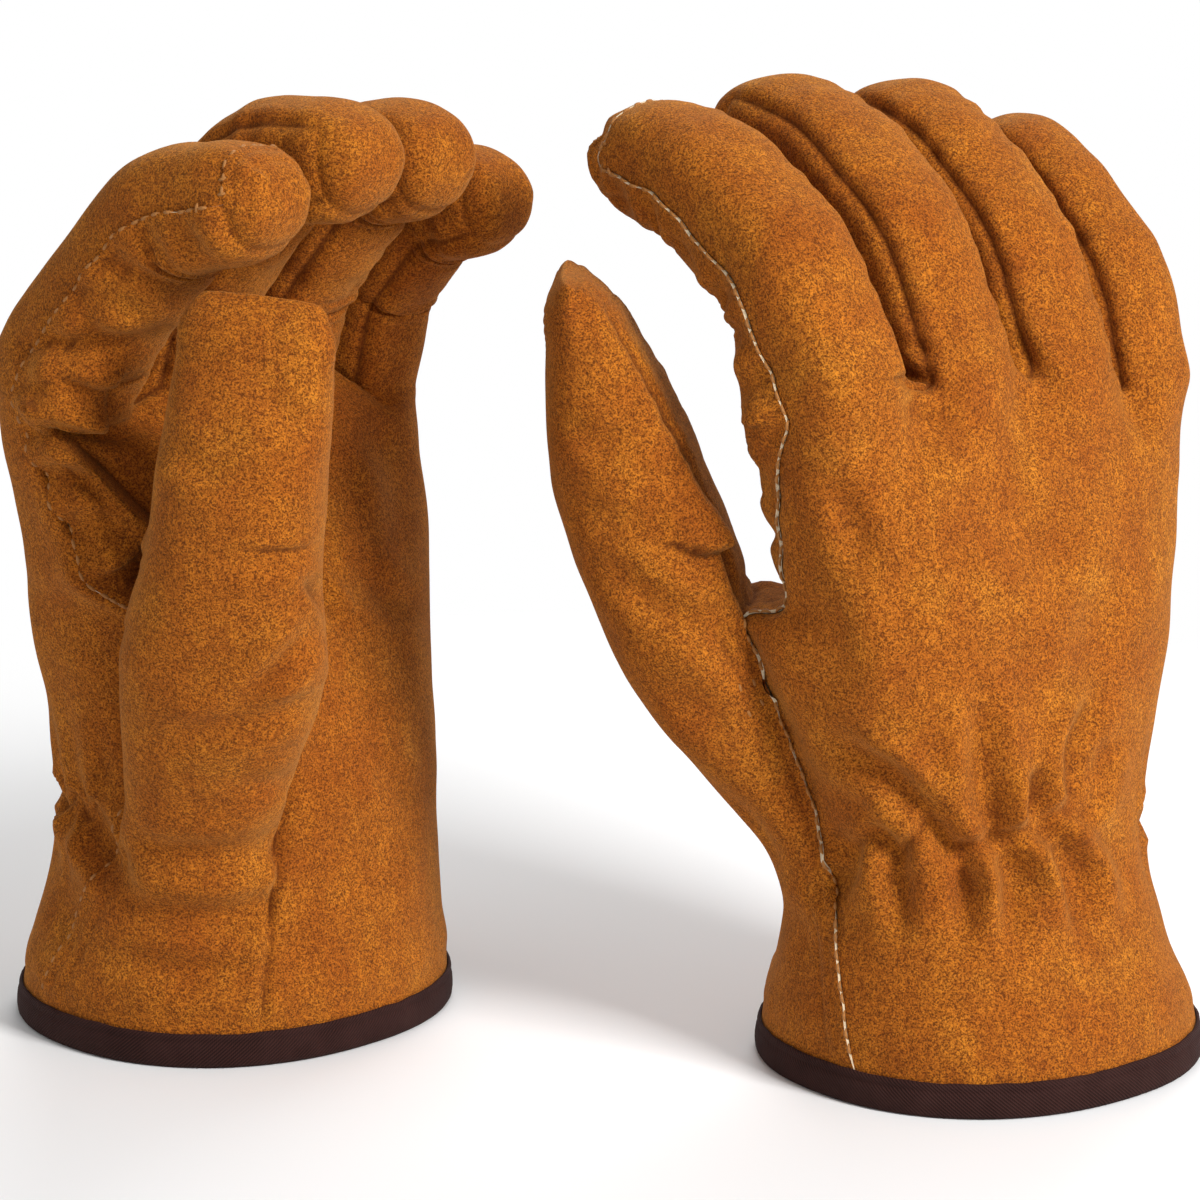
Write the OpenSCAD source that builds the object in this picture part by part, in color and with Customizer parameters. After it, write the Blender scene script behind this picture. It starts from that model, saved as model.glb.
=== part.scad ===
// A pair of lined split-leather work gloves, standing on their cuffs with the fingers half curled.
// Each glove is drawn as a right hand about the middle of its cuff: +X to the little finger,
// +Y out of the palm and +Z to the fingertips. The left glove is the mirror image in its own pose.

/* [Hand] */
// Height of the finger forks above the foot of the cuff
hand_h = 155; // [148:1:162]
// Width of the cuff at its foot
cuff_w = 100; // [92:1:108]
// Depth of the cuff at its foot, back to palm
cuff_d = 94; // [86:1:102]
// Width of the gathered wrist
wrist_w = 81; // [76:1:86]
// Depth of the gathered wrist, back to palm
wrist_d = 66; // [60:1:72]
// How much looser the left glove's wrist lies, on each half width and half depth
left_ease = 5; // [0:1:6]
// Height of the middle of the gathered wrist
gather_z = 54; // [50:1:58]
// Width of the palm at the thumb fork
palm_w = 104; // [98:1:110]
// Depth of the palm at the thumb fork
palm_d = 54; // [50:1:58]
// Height of the thumb fork
fork_z = 102; // [98:1:106]
// Depth of the hand at the finger forks
knuckle_d = 38; // [35:1:41]

/* [Digits] */
// Length of the index finger above its fork
index_l = 88; // [83:1:93]
// Length of the middle finger above its fork
middle_l = 91; // [86:1:96]
// Length of the ring finger above its fork
ring_l = 83; // [78:1:88]
// Length of the little finger above its fork
little_l = 73; // [70:1:78]
// Length of the thumb above its fork
thumb_l = 81; // [77:1:85]
// Width of the index and middle fingers
finger_w = 29.2; // [28:0.1:30]
// Width of the ring finger
ring_w = 28.4; // [27:0.1:29]
// Width of the little finger
little_w = 25.8; // [25:0.1:27]
// Width of the thumb
thumb_w = 38; // [36:1:40]
// Depth of the fingers, back to palm
finger_d = 32; // [30:1:34]
// Depth of the little finger, back to palm
little_d = 30; // [28:1:32]
// Depth of the thumb, back to pad
thumb_d = 36; // [34:1:38]
// Gap between neighbouring fingers at the forks
finger_gap = 0.8; // [0.6:0.1:1.2]
// Length of the soft fold at the root of each digit
root_fold_l = 12; // [10:1:14]
// Length of the soft fold at the middle of each digit
mid_fold_l = 16; // [12:1:18]

/* [Plies] */
// Thickness of the split leather
leather_t = 1.3; // [1:0.1:1.6]
// Thickness of the lining
lining_t = 1.4; // [1:0.1:1.6]
// Room between neighbouring plies
ply_gap = 0.1; // [0.05:0.05:0.2]
// Thickness of the wrist elastic
elastic_t = 0.7; // [0.5:0.1:1]
// Width of the wrist elastic
elastic_w = 12; // [10:1:14]
// Height of the cuff binding
binding_h = 8; // [6:0.5:10]
// Thickness of the binding tape
binding_t = 0.8; // [0.6:0.1:1]
// Thickness of the seam thread
thread_d = 0.8; // [0.6:0.1:1]
// Height of the seam thread above the leather's facets
thread_lift = 0.5; // [0.4:0.1:0.8]
// Distance of the first stitch row from the lapped edge
stitch_in = 2.5; // [2:0.5:4]
// Distance between the two stitch rows
stitch_pitch = 4; // [3:0.5:5]

/* [Hidden] */
SIDES = ["right", "left"];
DIGITS = ["index", "middle", "ring", "little", "thumb"];
SLICES = ["knuckle", "base", "bend", "tip"];
HAND_PARTS = ["back_panel", "palm_panel", "wing_panel", "fourchettes", "cuff_binding", "wrist_elastic",
              "hand_lining", "finger_linings", "seam_thread"];

suede = [0.72, 0.44, 0.12];
suede_fold = [0.62, 0.36, 0.09];
suede_wing = [0.70, 0.38, 0.11];
binding_brown = [0.27, 0.15, 0.13];
lining_cream = [0.86, 0.80, 0.66];
thread_tan = [0.66, 0.40, 0.16];

// ---- plain rules --------------------------------------------------------------------------
function ease(t) = let (u = max(0, min(1, t))) u * u * (3 - 2 * u);
function unit(v) = v / norm(v);
function round_power(v, n) = sign(v) * pow(abs(v), 2 / n);
function row_at(table, x, k = 0) =
    k >= len(table) - 2 || x < table[k + 1][0] ? k : row_at(table, x, k + 1);
function read_rows(table, x, eased = false) =
    let (k = row_at(table, x), a = table[k], b = table[k + 1],
         t = max(0, min(1, (x - a[0]) / (b[0] - a[0]))), u = eased ? ease(t) : t)
    [for (i = [1:len(a) - 1]) a[i] + (b[i] - a[i]) * u];

// ---- digits -------------------------------------------------------------------------------
ring_sides = 10;
ring_step = 360 / ring_sides;
digit_round = 2.4;              // how square a digit's section is: 2 is an ellipse
tip_start = 0.8;                // share of a digit's length where its closed end begins
spine_steps = 24;
// Share of the length, of the width and of the depth
taper = [[0, 1, 1], [0.5, 0.98, 0.95], [0.85, 0.92, 0.85], [0.96, 0.8, 0.62], [1, 0.55, 0.28]];
thumb_taper = [[0, 1.2, 0.95], [0.25, 1.02, 1], [0.5, 1, 0.92], [0.64, 0.97, 0.8], [0.8, 0.93, 0.6],
               [0.92, 0.86, 0.4], [1, 0.62, 0.14]];
least_half = 0.3;

LENGTHS = [index_l, middle_l, ring_l, little_l, thumb_l];
WIDTHS = [finger_w, finger_w, ring_w, little_w, thumb_w];
DEPTHS = [finger_d, finger_d, finger_d, little_d, thumb_d];
fingers_w = 2 * finger_w + ring_w + little_w + 3 * finger_gap;
function widths_before(i) = i == 0 ? 0 : widths_before(i - 1) + WIDTHS[i - 1] + finger_gap;
function finger_x(i) = widths_before(i) + WIDTHS[i] / 2 - fingers_w / 2;

// Pose of a digit: place of its root, lean to the side, turn about its own axis, flex at its root,
// and its bends, each with its place along the digit, its angle and the length that it takes.
// A thumb's second and third values are its lean outward and its lean to the palm, as slopes.
right_shift = -3;               // of the finger roots towards the thumb, from the middle of the cuff
POSE_right = [
    [[finger_x(0) + right_shift, 0, hand_h], -8, 0, 26, [[30, 27, 16], [60, 25, 14]]],
    [[finger_x(1) + right_shift, 0, hand_h + 1], -2, 0, 25, [[32, 28, 16], [62, 24, 14]]],
    [[finger_x(2) + right_shift, 0, hand_h - 1], -1.5, 0, 22, [[30, 27, 16], [58, 23, 12]]],
    [[finger_x(3) + right_shift, 0, hand_h - 6], -1.5, 0, 16, [[24, 28, 14], [50, 22, 12]]],
    [[-57, 40, fork_z], -0.22, 0.12, -6, [[40, 6, 30]]]];
left_shift = 0;
POSE_left = [
    [[finger_x(0) + left_shift, -4, hand_h - 3], 0, 7, 27, [[14, 17, 26], [55, 34, 20]]],
    [[finger_x(1) + left_shift, -4, hand_h - 1], 0, 7, 17, [[18, 25, 26], [60, 43, 22]]],
    [[finger_x(2) + left_shift, -4, hand_h - 3], 0, 7, 17, [[20, 25, 20], [58, 43, 20]]],
    [[finger_x(3) + left_shift, -4, hand_h - 9], 0, 7, 15, [[22, 28, 14], [48, 38, 16]]],
    [[-37, 44, fork_z - 5], 0.02, 0.15, -4, [[38, 8, 24]]]];
thumb_turn = -40;               // of the thumb's pad, from the little finger's side towards the back
function pose(s) = s == "right" ? POSE_right : POSE_left;
thumb = 4;

// A digit's own axes: across, towards the palm, and along
function digit_axes(s, i) = let (q = pose(s)[i])
    i == thumb
    ? let (z = unit([q[1], q[2], 1]), p = [cos(thumb_turn), sin(thumb_turn), 0], y = unit(p - z * (z * p)))
      [cross(y, z), y, z]
    : let (x = [cos(q[1]), 0, -sin(q[1])], y = [0, 1, 0])
      [cos(q[2]) * x - sin(q[2]) * y, cos(q[2]) * y + sin(q[2]) * x, [sin(q[1]), 0, cos(q[1])]];
function bend_sum(bends, l, k = 0) = k >= len(bends) ? 0
    : bends[k][1] * ease((l - bends[k][0]) / bends[k][2] + 0.5) + bend_sum(bends, l, k + 1);
function flex(s, i, l) = pose(s)[i][3] + bend_sum(pose(s)[i][4], l);
function along(s, i, l) = let (a = digit_axes(s, i), f = flex(s, i, l)) cos(f) * a[2] + sin(f) * a[1];
function palmward(s, i, l) = let (a = digit_axes(s, i), f = flex(s, i, l)) cos(f) * a[1] - sin(f) * a[2];
function sum_along(s, i, l, k = 0) = k >= spine_steps ? [0, 0, 0]
    : along(s, i, (k + 0.5) * l / spine_steps) + sum_along(s, i, l, k + 1);
function spine(s, i, l) = pose(s)[i][0] + sum_along(s, i, l) * l / spine_steps;

// A point of a digit's wall at length l, moved in by inset, with the digit's end drawn back alike
function wall_point(s, i, l, angle, inset) =
    let (size = read_rows(i == thumb ? thumb_taper : taper, l / LENGTHS[i]),
         w = max(least_half, size[0] * WIDTHS[i] / 2 - inset),
         d = max(least_half, size[1] * DEPTHS[i] / 2 - inset),
         at = l - inset * ease((l / LENGTHS[i] - tip_start) / (1 - tip_start)))
    spine(s, i, at) + w * round_power(cos(angle), digit_round) * digit_axes(s, i)[0]
                    + d * round_power(sin(angle), digit_round) * palmward(s, i, at);
// In the crotch of the thumb the plies lie under each other, so there they move down instead of in
function digit_point(s, i, l, angle, inset) =
    let (m = i == thumb && l == 0 ? max(0, sin(angle)) : 0, p = wall_point(s, i, l, angle, inset))
    m == 0 ? p : (1 - m) * p + m * (wall_point(s, i, l, angle, 0) - inset * along(s, i, 0));
function digit_ring(s, i, l, inset) =
    [for (k = [0:ring_sides - 1]) digit_point(s, i, l, (k + (i == thumb ? 0.5 : 0)) * ring_step, inset)];

// Lengths along a digit where its rings lie: its root fold, its mid fold and its rounded end
function mid_fold_at(i) = (i == thumb ? 0.5 : 0.37) * LENGTHS[i];
function root_rows(i) = [0, root_fold_l / 2, root_fold_l];
function base_rows(i) = [root_fold_l, mid_fold_at(i) - mid_fold_l / 2];
function fold_rows(i) = [mid_fold_at(i) - mid_fold_l / 2, mid_fold_at(i), mid_fold_at(i) + mid_fold_l / 2];
function tip_rows(i) = let (a = mid_fold_at(i) + mid_fold_l / 2, b = LENGTHS[i])
    [a, (a + 0.85 * b) / 2, 0.85 * b, 0.92 * b, 0.97 * b, b];
function rows_of(i, slice) = slice == "knuckle" ? root_rows(i) : slice == "base" ? base_rows(i)
    : slice == "bend" ? fold_rows(i) : tip_rows(i);

// ---- hand ---------------------------------------------------------------------------------
// Columns run round the hand from the lapped seam, over the back, down the little-finger side,
// across the palm to the thumb seam, and over the thumb wing back to the lapped seam.
fan = ring_sides / 2 - 1;                     // points of a finger's ring on its back, or on its palm
back_cols = 4 * fan;
side_col = back_cols + 1;
palm_end = side_col + back_cols;
wing_cols = ring_sides - 3;
low_cols = palm_end + 1 + wing_cols;          // all columns below the thumb fork
fork_col = low_cols;                          // the extra column between thumb and index finger
// Angles of the lapped seam and of the seam between wing and palm, from the little finger's side
cuff_seams = [195, 122];
fork_seams = [158, 110];
wing_rise = 20;                               // height where the wing begins to swell to the thumb

// Height, middle across, middle towards the palm, half width, half depth and squareness
SECTIONS_right = [[0, 0, 1, cuff_w / 2, cuff_d / 2, 2.2], [gather_z, -4, 1, wrist_w / 2, wrist_d / 2, 2.2],
    [fork_z, -3, 0, palm_w / 2, palm_d / 2, 2.4],
    [hand_h, right_shift, 1, fingers_w / 2, knuckle_d / 2, 2.8]];
SECTIONS_left = [[0, 0, 1, cuff_w / 2, cuff_d / 2, 2.2],
    [gather_z, 2, 5, wrist_w / 2 + left_ease, wrist_d / 2 + left_ease, 2.2],
    [fork_z, 1, 1.5, palm_w / 2, palm_d / 2 + left_ease / 2, 2.5],
    [hand_h, left_shift, -4, fingers_w / 2, knuckle_d / 2, 2.8]];
function section(s, z) = read_rows(s == "right" ? SECTIONS_right : SECTIONS_left, z, true);

function spread(c, seams) = c <= side_col ? seams[0] + c * (360 - seams[0]) / side_col
    : c <= palm_end ? 360 + (c - side_col) * seams[1] / back_cols
    : 360 + seams[1] + (c - palm_end) * (seams[0] - seams[1]) / (wing_cols + 1);
// The finger ring point that a column ends in: its finger and its angle round that finger
function top_point(c) = c == 0 ? [0, 180] : c == side_col ? [3, 360]
    : c < side_col ? [floor((c - 1) / fan), 180 + ring_step * (1 + (c - 1) % fan)]
    : [3 - floor((c - side_col - 1) / fan), 360 + ring_step * (1 + (c - side_col - 1) % fan)];
function top_angle(s, c) = c > palm_end ? 360 + 180
    : let (t = top_point(c), q = section(s, hand_h),
           f = (pose(s)[t[0]][0][0] - q[0] + WIDTHS[t[0]] / 2 * round_power(cos(t[1]), digit_round)) / q[2],
           a = acos(pow(min(1, abs(f)), q[4] / 2)))
      c < side_col ? (f < 0 ? 180 + a : 360 - a) : c == side_col ? 360 : (f < 0 ? 540 - a : 360 + a);
function col_angle(s, c, z) = let (f = spread(c, fork_seams), t = z / fork_z)
    z <= fork_z ? spread(c, cuff_seams) * (1 - t) + f * t
    : let (u = (z - fork_z) / (hand_h - fork_z)) f * (1 - u) + top_angle(s, c) * u;
function hull_point(s, c, z, inset) = let (q = section(s, z), a = col_angle(s, c, z))
    [q[0] + (q[2] - inset) * round_power(cos(a), q[4]), q[1] + (q[3] - inset) * round_power(sin(a), q[4]), z];

// Angle round the thumb's ring of a column that meets the thumb
function thumb_angle(c) = ring_step * (c == 0 ? 1.5 : c == fork_col ? 2.5 : 3.5 + c - palm_end);
function meets_thumb(c) = c == 0 || c >= palm_end;
// The wing follows the thumb's own line downward, more and more the nearer it is to the fork
function wing_point(s, c, z, inset) =
    let (p = wall_point(s, thumb, 0, thumb_angle(c), inset), a = along(s, thumb, 0),
         b = ease((z - wing_rise) / (fork_z - wing_rise)), h = hull_point(s, c, z, inset))
    h * (1 - b) + (p + a * (z - pose(s)[thumb][0][2]) / a[2]) * b;
// Above the fork the web is sunk to clear the thumb, and a column lies halfway between the seams there
web_sunk = 5;
function above_fork(s, c, z, inset) = c == 0 ? hull_point(s, c, z, inset)
    : let (t = inset + web_sunk * ease((hand_h - z) / (hand_h - fork_z)), p = hull_point(s, palm_end, z, t))
      c == fork_col ? (hull_point(s, 0, z, t) + p) / 2 : p;
// Columns beside the seams follow them in part, so that the fork blends into the hand
function follow(c) = let (d = min(abs(c), abs(c - palm_end)))
    d == 1 ? 0.55 : d == 2 ? 0.25 : d == 3 ? 0.1 : 0;
function hand_point(s, c, z, inset) =
    meets_thumb(c) ? (z <= fork_z ? wing_point(s, c, z, inset) : above_fork(s, c, z, inset))
    : let (m = c < side_col ? 0 : palm_end, h = hull_point(s, c, z, inset), k = follow(c))
      k == 0 ? h : let (d = hand_point(s, m, z, inset) - hull_point(s, m, z, inset))
      h + [d[0], d[1], 0] * k;

// Rows of the hand: the fork row is the last that the wing has, and the last row is the fingers' roots
foot_z = binding_t + ply_gap;
LOW_ROWS = [foot_z, binding_h, 27, gather_z - elastic_w / 2, gather_z + elastic_w / 2,
            gather_z + elastic_w / 2 + 14, fork_z - 14, fork_z];
HIGH_ROWS = [fork_z + 16, hand_h - 18];
fork_row = len(LOW_ROWS) - 1;
last_row = fork_row + len(HIGH_ROWS) + 1;
function row_point(s, r, c, inset) =
    r < fork_row ? hand_point(s, c, LOW_ROWS[r], inset)
    : r == fork_row ? (meets_thumb(c) ? digit_point(s, thumb, 0, thumb_angle(c), inset)
                                      : hand_point(s, c, fork_z, inset))
    : r < last_row ? hand_point(s, c, HIGH_ROWS[r - fork_row - 1], inset)
    : c == fork_col ? (row_point(s, r, 0, inset) + row_point(s, r, palm_end, inset)) / 2
    : digit_point(s, top_point(c)[0], 0, top_point(c)[1], inset);
// Neighbouring columns, and the way out of the skin that they give
function column_before(r, c) =
    c == fork_col ? palm_end : c > 0 ? c - 1 : r < fork_row ? low_cols - 1 : fork_col;
function column_after(r, c) =
    c == palm_end && r > fork_row ? fork_col : c == low_cols - 1 || c == fork_col ? 0 : c + 1;
function way_out(s, r, c) = unit(cross(
    row_point(s, r, column_after(r, c), 0) - row_point(s, r, column_before(r, c), 0),
    row_point(s, r + 1, c, 0) - row_point(s, r - 1, c, 0)));
// Plies keep to the rings of the digits and to the round of the cuff, and lie square under the skin elsewhere
function grid_point(s, r, c, inset) =
    r <= 1 || r == last_row || r == fork_row && meets_thumb(c) ? row_point(s, r, c, inset)
    : row_point(s, r, c, 0) - inset * way_out(s, r, c);

// ---- placing and skinning -----------------------------------------------------------------
right_turn = 39;
left_turn = -135;
right_at = [87.1, -18.2];
left_at = [-87.4, 17.8];
function placed(s, p) = let (a = s == "right" ? right_turn : left_turn, t = s == "right" ? right_at : left_at,
                             x = s == "right" ? p[0] : -p[0])
    [x * cos(a) - p[1] * sin(a) + t[0], x * sin(a) + p[1] * cos(a) + t[1], p[2]];
function turned(f) = [for (k = [len(f) - 1:-1:0]) f[k]];
module skin(s, points, faces) {
    polyhedron(points = [for (p = points) placed(s, p)],
               faces = s == "right" ? faces : [for (f = faces) turned(f)], convexity = 8);
}
function quad(a, b, c, d) = [[a, b, c], [a, c, d]];

// A tube along a digit between rings, each a list of points, closed at the far end where it has a lid
module tube(s, outer, inner, lid) {
    n = len(outer[0]);
    m = len(outer);
    w = n * m;
    wall = [for (r = [0:m - 2], k = [0:n - 1]) let (e = (k + 1) % n)
        each concat(quad(r * n + k, r * n + n + k, r * n + n + e, r * n + e),
                    quad(w + r * n + k, w + r * n + e, w + r * n + n + e, w + r * n + n + k))];
    foot = [for (k = [0:n - 1]) let (e = (k + 1) % n) each quad(k, e, w + e, w + k)];
    o = (m - 1) * n;
    top = lid ? [for (k = [1:n - 2]) each [[o, o + k + 1, o + k], [w + o, w + o + k, w + o + k + 1]]]
              : [for (k = [0:n - 1]) let (e = (k + 1) % n) each quad(o + e, o + k, w + o + k, w + o + e)];
    skin(s, concat([for (r = outer) each r], [for (r = inner) each r]), concat(wall, foot, top));
}
module digit_slice(s, i, rows, out, in, lid = false) {
    tube(s, [for (l = rows) digit_ring(s, i, l, out)], [for (l = rows) digit_ring(s, i, l, in)], lid);
}

// A ply of the hand over the cells [row, column, next column], walled along its outline of [row, column],
// and ending at a distance under the fingers' roots. Its four-sided faces are split so that plies which
// share an edge share its wall too, and so that the web of the thumb stays clear of the thumb
module ply(s, cells, outlines, out, in, under = 0) {
    cols = fork_col + 1;
    w = cols * (last_row + 1);
    points = [for (t = [out, in], r = [0:last_row], c = [0:fork_col])
        c == fork_col && r < fork_row || c > palm_end && c < fork_col && r > fork_row
        ? [0, 0, 0] : grid_point(s, r, c, t) - [0, 0, r == last_row ? under : 0]];
    skin(s, points, concat(
        [for (q = cells) let (a = q[0] * cols, b = a + cols,
                              i = a + q[1], j = a + q[2], k = b + q[1], l = b + q[2])
            each q[2] == fork_col ? concat(quad(k, l, j, i), quad(w + j, w + l, w + k, w + i))
                                  : concat(quad(i, k, l, j), quad(w + i, w + j, w + l, w + k))],
        [for (line = outlines, k = [0:len(line) - 1])
            let (p = line[k], q = line[(k + 1) % len(line)], a = p[0] * cols + p[1], b = q[0] * cols + q[1])
            each q[0] > p[0] ? quad(a, b, w + b, w + a) : quad(b, w + b, w + a, a)]));
}
function strip(cols, rows) = [for (r = rows, k = [0:len(cols) - 2]) [r, cols[k], cols[k + 1]]];
function block_outline(cols, r0, r1) = let (n = len(cols) - 1) concat(
    [for (k = [0:n - 1]) [r0, cols[k]]], [for (r = [r0:r1 - 1]) [r, cols[n]]],
    [for (k = [n:-1:1]) [r1, cols[k]]], [for (r = [r1:-1:r0 + 1]) [r, cols[0]]]);
function span(a, b) = [for (c = [a:b]) c];
function span_down(a, b) = [for (c = [a:-1:b]) c];

// ---- the pieces ---------------------------------------------------------------------------
hand_lining_in = leather_t + ply_gap + elastic_t + ply_gap;
sock_in = leather_t + ply_gap;
lining_short = 2;               // of the hand's lining under the fingers' roots
back_span = span(0, side_col);
palm_span = span(side_col, palm_end);
wing_span = concat(span(palm_end, low_cols - 1), [0]);

module back_panel(s) {
    color(suede) ply(s, strip(back_span, [0:last_row - 1]), [block_outline(back_span, 0, last_row)],
                     0, leather_t);
}
module palm_panel(s) {
    cells = concat(strip(palm_span, [0:last_row - 1]),
                   strip([palm_end, fork_col, 0], [fork_row:last_row - 1]));
    line = concat([for (c = [side_col:palm_end - 1]) [0, c]], [for (r = [0:fork_row]) [r, palm_end]],
                  [[fork_row, fork_col]], [for (r = [fork_row:last_row]) [r, 0]], [[last_row, fork_col]],
                  [for (c = [palm_end:-1:side_col]) [last_row, c]],
                  [for (r = [last_row - 1:-1:1]) [r, side_col]]);
    color(suede) ply(s, cells, [line], 0, leather_t);
}
module wing_panel(s) {
    color(suede_wing) ply(s, strip(wing_span, [0:fork_row - 1]), [block_outline(wing_span, 0, fork_row)],
                          0, leather_t);
}
// The strips that close each fork between two fingers, a little above the fingers' roots
fork_gap = 1.1;
module fourchettes(s) {
    color(suede) for (i = [0:2]) {
        points = [for (l = [fork_gap + leather_t, fork_gap], k = [-1:1])
            each [wall_point(s, i, l, k * ring_step, -ply_gap),
                  wall_point(s, i + 1, l, 180 - k * ring_step, -ply_gap)]];
        low = 6;
        skin(s, points, concat(
            [for (k = [0, 2]) each concat(quad(k + 2, k + 3, k + 1, k),
                                          quad(low + k + 1, low + k + 3, low + k + 2, low + k),
                                          quad(k, low + k, low + k + 2, k + 2),
                                          quad(k + 1, k + 3, low + k + 3, low + k + 1))],
            quad(0, 1, low + 1, low), quad(4, low + 4, low + 5, 5)));
    }
}
module wrist_elastic(s) {
    cols = span(3, side_col - 3);
    r = search(gather_z - elastic_w / 2, LOW_ROWS)[0];
    color(lining_cream) ply(s, strip(cols, [r]), [block_outline(cols, r, r + 1)],
                            leather_t + ply_gap, leather_t + ply_gap + elastic_t);
}
module hand_lining(s) {
    low = concat(span(0, low_cols - 1), [0]);
    high = concat(span(0, palm_end), [fork_col, 0]);
    color(lining_cream) ply(s, concat(strip(low, [0:fork_row - 1]), strip(high, [fork_row:last_row - 1])),
        [[for (c = [0:low_cols - 1]) [0, c]],
         [for (c = concat([0, fork_col], span_down(palm_end, 1))) [last_row, c]],
         [for (c = concat([0], span_down(low_cols - 1, palm_end), [fork_col])) [fork_row, c]]],
        hand_lining_in, hand_lining_in + lining_t, lining_short);
}
module finger_linings(s) {
    color(lining_cream) for (i = [0:thumb])
        digit_slice(s, i, concat(root_rows(i), fold_rows(i), [for (k = [1:5]) tip_rows(i)[k]]),
                    sock_in, sock_in + lining_t, lid = true);
}
module cuff_binding(s) {
    in = hand_lining_in + lining_t;
    profile = [[-binding_t, 0], [-binding_t, binding_h], [-ply_gap, binding_h], [-ply_gap, binding_t],
               [in + ply_gap, binding_t], [in + ply_gap, binding_h], [in + ply_gap + binding_t, binding_h],
               [in + ply_gap + binding_t, 0]];
    n = len(profile);
    points = [for (c = [0:low_cols - 1], p = profile) hand_point(s, c, p[1], p[0])];
    faces = [for (c = [0:low_cols - 1], k = [0:n - 1]) let (d = (c + 1) % low_cols, e = (k + 1) % n)
        each quad(c * n + k, c * n + e, d * n + e, d * n + k)];
    color(binding_brown) skin(s, points, faces);
}
// Two rows of stitching follow the lapped edge under and above the thumb's fork, each a thin thread
module seam_thread(s) {
    color(thread_tan) for (away = [stitch_in, stitch_in + stitch_pitch],
                           run = [[1, fork_row - 2, low_cols - 1], [fork_row + 1, last_row - 1, fork_col]]) {
        rows = [run[0]:run[1]];
        m = run[1] - run[0] + 1;
        points = [for (r = rows) let (
            a = grid_point(s, r, 0, -thread_lift), b = grid_point(s, r, run[2], -thread_lift), t = unit(b - a),
            o = unit(grid_point(s, r, 0, -1) - grid_point(s, r, 0, 0)), p = a + t * away, h = t * thread_d / 2)
            each [p - h, p - h + o * thread_d, p + h + o * thread_d, p + h]];
        skin(s, points, concat(quad(0, 3, 2, 1), quad(m * 4 - 4, m * 4 - 3, m * 4 - 2, m * 4 - 1),
            [for (r = [0:m - 2], k = [0:3]) let (e = (k + 1) % 4)
                each quad(r * 4 + k, r * 4 + e, r * 4 + 4 + e, r * 4 + 4 + k)]));
    }
}
module digit_part(s, i, slice) {
    soft = slice == "knuckle" || slice == "bend";
    color(soft ? suede_fold : suede) digit_slice(s, i, rows_of(i, slice), 0, leather_t, lid = slice == "tip");
}

for (s = SIDES) {
    back_panel(s);
    palm_panel(s);
    wing_panel(s);
    fourchettes(s);
    cuff_binding(s);
    wrist_elastic(s);
    hand_lining(s);
    finger_linings(s);
    seam_thread(s);
    for (i = [0:thumb], slice = SLICES) {
        digit_part(s, i, slice);
    }
}
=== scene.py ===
"""A pair of lined split-leather work gloves, standing on their bound cuffs.

Sizes and places are in millimetres until a piece becomes a Blender object, which is in metres.
Each glove is drawn as a right hand about the middle of its cuff (+X to the little finger, +Y out of
the palm, +Z to the fingertips), as a coarse cage that is subdivided, folded, sewn and cut into its
leather panels. The left glove is the mirror image in its own pose.
"""
import math

import bpy
import numpy as np
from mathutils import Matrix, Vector, kdtree, noise
from mathutils.bvhtree import BVHTree


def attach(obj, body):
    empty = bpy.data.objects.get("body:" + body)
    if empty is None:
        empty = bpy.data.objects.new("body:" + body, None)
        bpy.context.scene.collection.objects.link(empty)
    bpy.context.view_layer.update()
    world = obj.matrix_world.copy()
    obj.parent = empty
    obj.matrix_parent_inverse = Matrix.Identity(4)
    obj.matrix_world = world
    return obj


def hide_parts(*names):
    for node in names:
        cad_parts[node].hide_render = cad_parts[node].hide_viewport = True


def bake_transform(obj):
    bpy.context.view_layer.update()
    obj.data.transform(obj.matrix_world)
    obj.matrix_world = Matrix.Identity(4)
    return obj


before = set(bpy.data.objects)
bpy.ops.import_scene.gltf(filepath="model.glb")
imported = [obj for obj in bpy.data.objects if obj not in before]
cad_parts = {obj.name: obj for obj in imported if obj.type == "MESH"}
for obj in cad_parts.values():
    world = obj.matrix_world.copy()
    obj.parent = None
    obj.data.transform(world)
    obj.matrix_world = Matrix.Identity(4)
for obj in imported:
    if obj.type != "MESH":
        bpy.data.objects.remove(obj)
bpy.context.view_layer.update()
MM = 0.001

# ---- sizes, as the solids have them ----
SIDES = ("right", "left")
DIGITS = ("index", "middle", "ring", "little", "thumb")
THUMB = 4
hand_h = 155.0
cuff_w, cuff_d = 100.0, 94.0
wrist_w, wrist_d = 81.0, 66.0
gather_z = 54.0
left_ease = 5.0
palm_w, palm_d = 104.0, 54.0
fork_z = 102.0
knuckle_d = 38.0
LENGTHS = (88.0, 91.0, 83.0, 73.0, 81.0)
WIDTHS = (29.2, 29.2, 28.4, 25.8, 38.0)
DEPTHS = (32.0, 32.0, 32.0, 30.0, 36.0)
finger_gap = 0.8
root_fold_l, mid_fold_l = 12.0, 16.0
leather_t, lining_t, ply_gap = 1.3, 1.4, 0.1
elastic_t, elastic_w = 0.7, 12.0
web_sunk = 5.0
binding_h, binding_t = 8.0, 0.8
stitch_in, stitch_pitch = 2.5, 4.0
stitch_l, stitch_space, stitch_r = 2.5, 0.9, 0.42
edge_skived = 0.42                  # share of the leather that is pressed away at the lapped edge
fold_room = 0.8                     # more room that the linings leave under the leather's folds
fingers_w = sum(WIDTHS[:THUMB]) + 3 * finger_gap

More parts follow.
